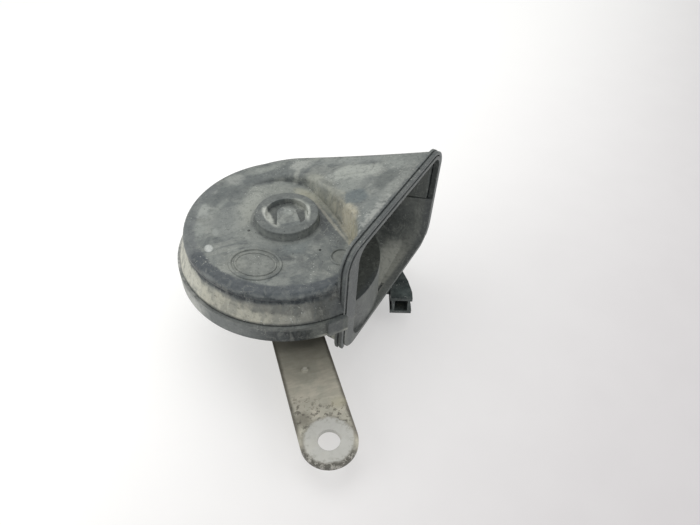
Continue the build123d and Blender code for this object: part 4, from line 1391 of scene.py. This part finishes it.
    def bell_dirt_and_shade(self) -> tuple[Mark | Band, ...]:
        """Stains and painted shade inside the bell.

        Returns:
            A darker ground, the plate darkened by painted shade, painted shade high on the back wall, a dusty
            slope, and a pale flat at the lip.
        """
        return (
            Band((-20.0, 34.0), (12.0, 70.0), (-75.0, 60.0), (0.120, 0.130, 0.118), 0.85, 2.0, 3.0),
            Band((-20.0, 1.2), (37.9, 60.0), (-70.0, 8.0), (0.42, 0.425, 0.375), 0.85, 0.35, 0.9),
            # painted shade on the plate, which lies deep under the roof
            Band((1.3, 2.6), (0.0, 37.9), (-70.0, 40.0), (0.070, 0.075, 0.068), 0.85, 0.3, 0.4),
            Mark((14.0, 43.0, 24.0), (4.0, 7.0, 26.0), -30.0, (0.26, 0.265, 0.24), 0.60, 0.6, 0.6),
            # painted shade high on the bell's back wall, under the roof
            Mark((24.0, 99.0, 26.0), (9.0, 9.0, 15.0), 0.0, (0.042, 0.047, 0.045), 0.90, 0.6, 0.6),
            Mark((21.0, 86.0, 20.0), (5.0, 12.0, 16.0), -10.0, (0.060, 0.066, 0.060), 0.70, 0.6, 0.8),
            Mark((33.0, 84.0, 10.0), (10.0, 16.0, 9.0), -29.0, (0.26, 0.265, 0.240), 0.85, 0.6, 0.8),
            Mark((24.5, 84.0, 12.5), (5.5, 12.0, 6.0), -14.0, (0.30, 0.305, 0.270), 0.90, 0.5, 0.8),
            Mark((16.0, 62.0, 12.5), (5.0, 12.0, 7.0), -20.0, (0.26, 0.265, 0.235), 0.85, 0.5, 0.8),
            Mark((11.5, 46.0, 17.0), (5.0, 6.0, 9.0), -29.0, (0.190, 0.192, 0.176), 0.75, 0.5, 1.2, 260.0),
            Mark((7.5, 38.5, 32.0), (2.0, 4.0, 24.0), -29.0, (0.090, 0.096, 0.092), 0.75, 0.5, 1.2, 260.0),
            Mark((38.0, 102.0, 38.0), (7.0, 4.0, 12.0), 0.0, (0.11, 0.118, 0.11), 0.60, 0.6, 0.8),
        )

    def bell_pits(self) -> tuple[Mark, ...]:
        """Pits that lie over the drips inside the bell.

        Returns:
            Two dark pits on the plate.
        """
        return (
            Mark((17.0, 47.5, 14.0), (0.7, 0.9, 3.0), 0.0, BLACK, 0.8, 0.4, 0.4),
            Mark((19.0, 52.0, 14.0), (0.6, 0.8, 3.0), 0.0, BLACK, 0.7, 0.4, 0.4),
        )

    def upper_finish(self) -> DustyPlastic:
        """Finish of the upper shell, with its stains and painted shade in the order in which they lie.

        Returns:
            The finish.
        """
        stains = (
            *self.face_dirt_and_shade(),
            *self.valley_dirt(),
            *self.dark_hood(),
            *self.wiped_hood_and_highlight(),
            *self.hub_dirt_and_shade(),
            *self.wall_dirt(),
            *self.bead_dirt_and_shade(),
            *self.throat_shade(),
        )
        smears = (self.rim_dirt(), *self.hub_smears())
        return DustyPlastic("upper_shell_plastic", stains=stains, smears=smears)

    def lower_finish(self) -> DustyPlastic:
        """Finish of the lower shell, darker and with fewer specks.

        Returns:
            The finish.
        """
        return DustyPlastic(
            "lower_shell_plastic",
            clean=(0.095, 0.106, 0.104),
            dusty=(0.165, 0.177, 0.168),
            dust=(0.33, 0.34, 0.31),
            stains=(*self.ring_dirt(), *self.bell_dirt_and_shade()),
            smears=(self.rim_dirt(), *self.bell_pits()),
            haze=0.25,
            speck_share=0.3,
        )

    def build(self) -> None:
        """Dresses both shells and adds the bare oval, the bare date ring and the bare badge pad."""
        upper = self.upper_finish().make()
        dress(["upper_shell"], upper)
        dress(["lower_shell"], self.lower_finish().make())
        oval, date = self.face(self.oval_at, self.oval_turn), self.face(self.date_at, 0.0)
        inner = (self.oval_half[0] - self.oval_inset, self.oval_half[1] - self.oval_inset)
        pieces = [
            bead_ring("bare_oval_rim", oval, self.oval_half, *self.oval_line),
            bead_ring("bare_oval_inner_rim", oval, inner, *self.inner_line),
            bead_ring("date_ring", date, self.date_half, *self.date_line),
            self.badge.raise_on("bare_badge_pad", self.roof(self.badge_at, self.badge_turn)),
        ]
        for piece in pieces:
            seat_piece(piece, upper)


@dataclass
class DriveUnit:
    """Pot, diaphragm, coil, clamps and the stud under the trumpet."""

    stud_radius: float = 3.95
    stud_chamfer: float = 0.7
    core_radius: float = 7.0
    core_chamfer: float = 0.3
    shoulder: float = 2.9
    ledge: float = 0.001
    pitch: float = 1.25
    thread_gaps: Pair = (0.1, 1.0)
    steel: Metal = Metal("zinc_plated_steel", (0.52, 0.50, 0.44), (0.36, 0.35, 0.31))
    sprung: Metal = Metal("blued_spring_steel", (0.42, 0.41, 0.40), (0.28, 0.28, 0.29), (0.2, 0.35))
    coat: Moulding = Moulding(
        "black_coated_steel", (0.022, 0.024, 0.026), (0.04, 0.042, 0.042), (0.3, 0.5), dust_share=0.3
    )
    paper: Moulding = Moulding(
        "gasket_paper", (0.16, 0.12, 0.08), (0.10, 0.08, 0.055), (0.7, 0.9), Grain(1200.0, 3.0, 0.6)
    )
    nylon: Moulding = Moulding("bobbin_nylon", (0.55, 0.52, 0.42), (0.45, 0.42, 0.34))
    wire: WoundWire = WoundWire("enamelled_copper_wire")

    def stud(self) -> bpy.types.Object:
        """Core and threaded stud in place of the plain solid.

        Returns:
            The piece: chamfered end, thread up to the strip, and the plain core above.
        """
        low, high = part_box("pole_core")
        foot, crown = low.z / MM, high.z / MM
        profile = [
            (self.stud_radius - self.stud_chamfer, foot),
            (self.stud_radius, foot + self.stud_chamfer),
            (self.stud_radius, self.shoulder),
            (self.core_radius, self.shoulder + self.ledge),
            (self.core_radius, crown - self.core_chamfer),
            (self.core_radius - self.core_chamfer, crown),
        ]
        thread = Thread(foot + self.thread_gaps[0], self.shoulder - self.thread_gaps[1], self.pitch)
        return turned_piece("threaded_stud", (HORN_X, HORN_Y), profile, thread)

    def build(self) -> None:
        """Dresses the drive unit's nodes and puts the threaded stud in place of its plain solid."""
        steel = self.steel.make()
        dress(["clamp_ring", "armature", "spring_washer", "stud_nut"], steel)
        dress(["connector_rivet", "breaker_rivets", "adjusting_screw"], steel)
        dress(["armature_washer", "diaphragm", "moving_contact_arm"], self.sprung.make())
        dress(["pot"], self.coat.make())
        dress(["trumpet_gasket", "diaphragm_gasket"], self.paper.make())
        dress(["coil_bobbin"], self.nylon.make())
        dress(["coil_winding"], self.wire.make())
        stud = seat_piece(self.stud(), steel)
        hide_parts("pole_core")


@dataclass
class ContactBreaker:
    """Arms, contacts, insulators and resistor on the pot's step."""

    brass: Metal = Metal("tinned_brass", (0.62, 0.47, 0.20), (0.42, 0.33, 0.17), (0.25, 0.42))
    alloy: Metal = Metal("contact_alloy", (0.62, 0.60, 0.56), (0.30, 0.28, 0.27), spot_share=0.8)
    laminate: Moulding = Moulding(
        "laminated_insulator", (0.17, 0.07, 0.03), (0.11, 0.045, 0.02), (0.35, 0.55)
    )
    ceramic: Moulding = Moulding("fired_ceramic", (0.62, 0.60, 0.54), (0.50, 0.48, 0.43), (0.5, 0.7))

    def build(self) -> None:
        """Dresses the breaker's nodes."""
        dress(["fixed_contact_arm", "terminal_live", "terminal_ground"], self.brass.make())
        dress(["fixed_contact", "moving_contact"], self.alloy.make())
        dress(["insulator_low", "insulator_middle", "insulator_top"], self.laminate.make())
        dress(["resistor"], self.ceramic.make())


@dataclass
class Connector:
    """Socket for the vehicle's plug, beside the pot, in very dark plastic with greenish dirt."""

    finish: DustyPlastic = DustyPlastic(
        "connector_plastic",
        clean=(0.024, 0.031, 0.031),
        dusty=(0.058, 0.071, 0.069),
        dust=(0.15, 0.17, 0.165),
        stains=(
            Mark((31.0, 70.0, 6.0), (3.0, 3.0, 3.0), 0.0, (0.10, 0.125, 0.12), 0.7, 0.6, 1.4, 420.0),
            Mark((40.0, 72.0, 5.0), (9.0, 6.0, 3.0), 0.0, (0.055, 0.066, 0.066), 0.6, 0.6, 1.0),
        ),
        haze=0.25,
        speck_share=0.4,
        # painted shade in the corners, at a lower share
        corner_shade_share=0.2,
        roughness=(0.30, 0.55),
        edge=0.3,
    )

    def build(self) -> None:
        """Dresses the housing."""
        dress(["connector_housing"], self.finish.make())


@dataclass
class Strip:
    """Mounting strip under the horn."""

    finish: ZincStrip = ZincStrip("worn_zinc_strip")

    def build(self) -> None:
        """Dresses the strip in worn zinc."""
        dress(["bracket"], self.finish.make())


# ---------------------------------------------------------------- stage


@dataclass(frozen=True)
class Lamp:
    """Soft square lamp: its place, the point it faces and its side in mm, its power in watts, its light."""

    name: str
    at: Triple
    aim: Triple
    size: float
    power: float
    tone: Triple

    def build(self) -> None:
        """Hangs the lamp."""
        light = bpy.data.lights.new(self.name, "AREA")
        light.energy = self.power
        light.size = self.size * MM
        light.color = self.tone
        lamp = link(bpy.data.objects.new(self.name, light))
        lamp.location = Vector(self.at) * MM
        lamp.rotation_euler = (Vector(self.aim) - Vector(self.at)).to_track_quat("-Z", "Y").to_euler()


@dataclass(frozen=True)
class PaleFloor:
    """Pale paper that glows, with a painted grey shade to the right, which fades out again far off."""

    name: str = "pale_floor"
    lit: Triple = (0.62, 0.62, 0.61)
    shaded: Triple = (0.33, 0.32, 0.325)
    glow: float = 1.0
    glow_lit: Triple = (0.48, 0.48, 0.475)
    glow_shaded: Triple = (0.29, 0.280, 0.283)
    fibre: Triple = (0.7, 0.71, 0.7)
    fibre_share: float = 0.04
    roughness: float = 0.9
    gloss: float = 0.1
    lean: float = -0.7
    near: Pair = (-0.20, 0.20)
    far: Pair = (0.35, 0.80)
    paper: Grain = Grain(40.0, 3.0, cut=(0.3, 0.7))

    def make(self) -> bpy.types.Material:
        """Builds the material.

        Returns:
            Diffuse paper that keeps a shadow, with a glow of nearly the same tone.
        """
        board = Board(self.name, self.lit)
        across = board.weigh(board.parts[Axis.X.value], (board.parts[Axis.Y.value], self.lean))
        shade = board.times(board.span(across, *self.near), board.span(across, *self.far, 1.0, 0.0))
        board.lay(self.shaded, shade)
        board.lay(self.fibre, board.grains(self.paper, self.fibre_share))
        glow = board.mix(shade, self.glow_lit, self.glow_shaded)
        board.settle(Roughness=self.roughness, Specular_IOR_Level=self.gloss)
        return board.settle(Emission_Color=glow, Emission_Strength=self.glow)


@dataclass
class Stage:
    """Pale floor, soft light and the camera."""

    floor_height: float = -10.25
    floor_size: float = 3000.0
    paper: PaleFloor = PaleFloor()
    sky_light: float = 0.56
    sky_seen: float = 1.0
    lamps: tuple[Lamp, ...] = (
        Lamp("top_lamp", (-80.0, 240.0, 520.0), HORN_MIDDLE, 480.0, 1.05, (1.0, 0.995, 0.98)),
        Lamp("left_lamp", (-430.0, -80.0, 280.0), HORN_MIDDLE, 380.0, 0.85, (1.0, 0.99, 0.97)),
        Lamp("right_lamp", (430.0, -40.0, 240.0), (20.0, 75.0, 35.0), 380.0, 0.75, (1.0, 1.0, 1.0)),
    )
    camera_at: Triple = (6.2, -110.4, 203.85)
    pitch: float = 44.82
    roll: float = 1.30
    lens: float = 30.86
    sensor: float = 36.0
    clip_start: float = 10.0

    def floor(self) -> None:
        """Lays the floor: one square face under the strip."""
        half = self.floor_size / 2 * MM
        height = self.floor_height * MM
        mesh = bpy.data.meshes.new("floor")
        corners = [(-half, -half, height), (half, -half, height), (half, half, height), (-half, half, height)]
        mesh.from_pydata(corners, [], [(0, 1, 2, 3)])
        mesh.materials.append(self.paper.make())
        floor = link(bpy.data.objects.new("floor", mesh))

    def sky(self) -> None:
        """Sets the even light round the scene: white where the camera sees it, softer as light."""
        world = bpy.data.worlds.new("studio")
        bpy.context.scene.world = world
        world.use_nodes = True
        tree = world.node_tree
        back = tree.nodes["Background"]
        rays = tree.nodes.new("ShaderNodeLightPath")
        seen = tree.nodes.new("ShaderNodeMath")
        seen.operation = "MAXIMUM"
        tree.links.new(rays.outputs["Is Camera Ray"], seen.inputs[0])
        tree.links.new(rays.outputs["Is Transmission Ray"], seen.inputs[1])
        level = tree.nodes.new("ShaderNodeMapRange")
        tree.links.new(seen.outputs[0], level.inputs["Value"])
        level.inputs["To Min"].default_value = self.sky_light
        level.inputs["To Max"].default_value = self.sky_seen
        back.inputs["Color"].default_value = (1.0, 1.0, 1.0, 1.0)
        tree.links.new(level.outputs[0], back.inputs["Strength"])

    def camera(self) -> None:
        """Sets the camera: its rows are right, up and back, turned by the pitch and the roll."""
        c, s = cos_sin(self.pitch)
        cr, sr = cos_sin(self.roll)
        right = Vector((cr, sr * s, sr * c))
        down = Vector((sr, -cr * s, -cr * c))
        ahead = Vector((0.0, c, -s))
        data = bpy.data.cameras.new("camera")
        data.lens = self.lens
        data.sensor_width = self.sensor
        data.clip_start = self.clip_start * MM
        camera = link(bpy.data.objects.new("camera", data))
        turn = Matrix((right, -down, -ahead)).transposed().to_4x4()
        camera.matrix_world = Matrix.Translation(Vector(self.camera_at) * MM) @ turn
        bpy.context.scene.camera = camera

    def build(self) -> None:
        """Sets the floor, the light and the camera."""
        self.floor()
        self.sky()
        for lamp in self.lamps:
            lamp.build()
        self.camera()
        bpy.context.scene.view_settings.view_transform = "Standard"


def main() -> None:
    """Builds the stage and each sub-assembly in order."""
    logging.basicConfig(level=logging.INFO, format="%(name)s: %(message)s")
    for part in (Stage(), Trumpet(), DriveUnit(), ContactBreaker(), Connector(), Strip()):
        part.build()
        LOG.info("%s done", type(part).__name__)


if __name__ == "__main__":
    main()
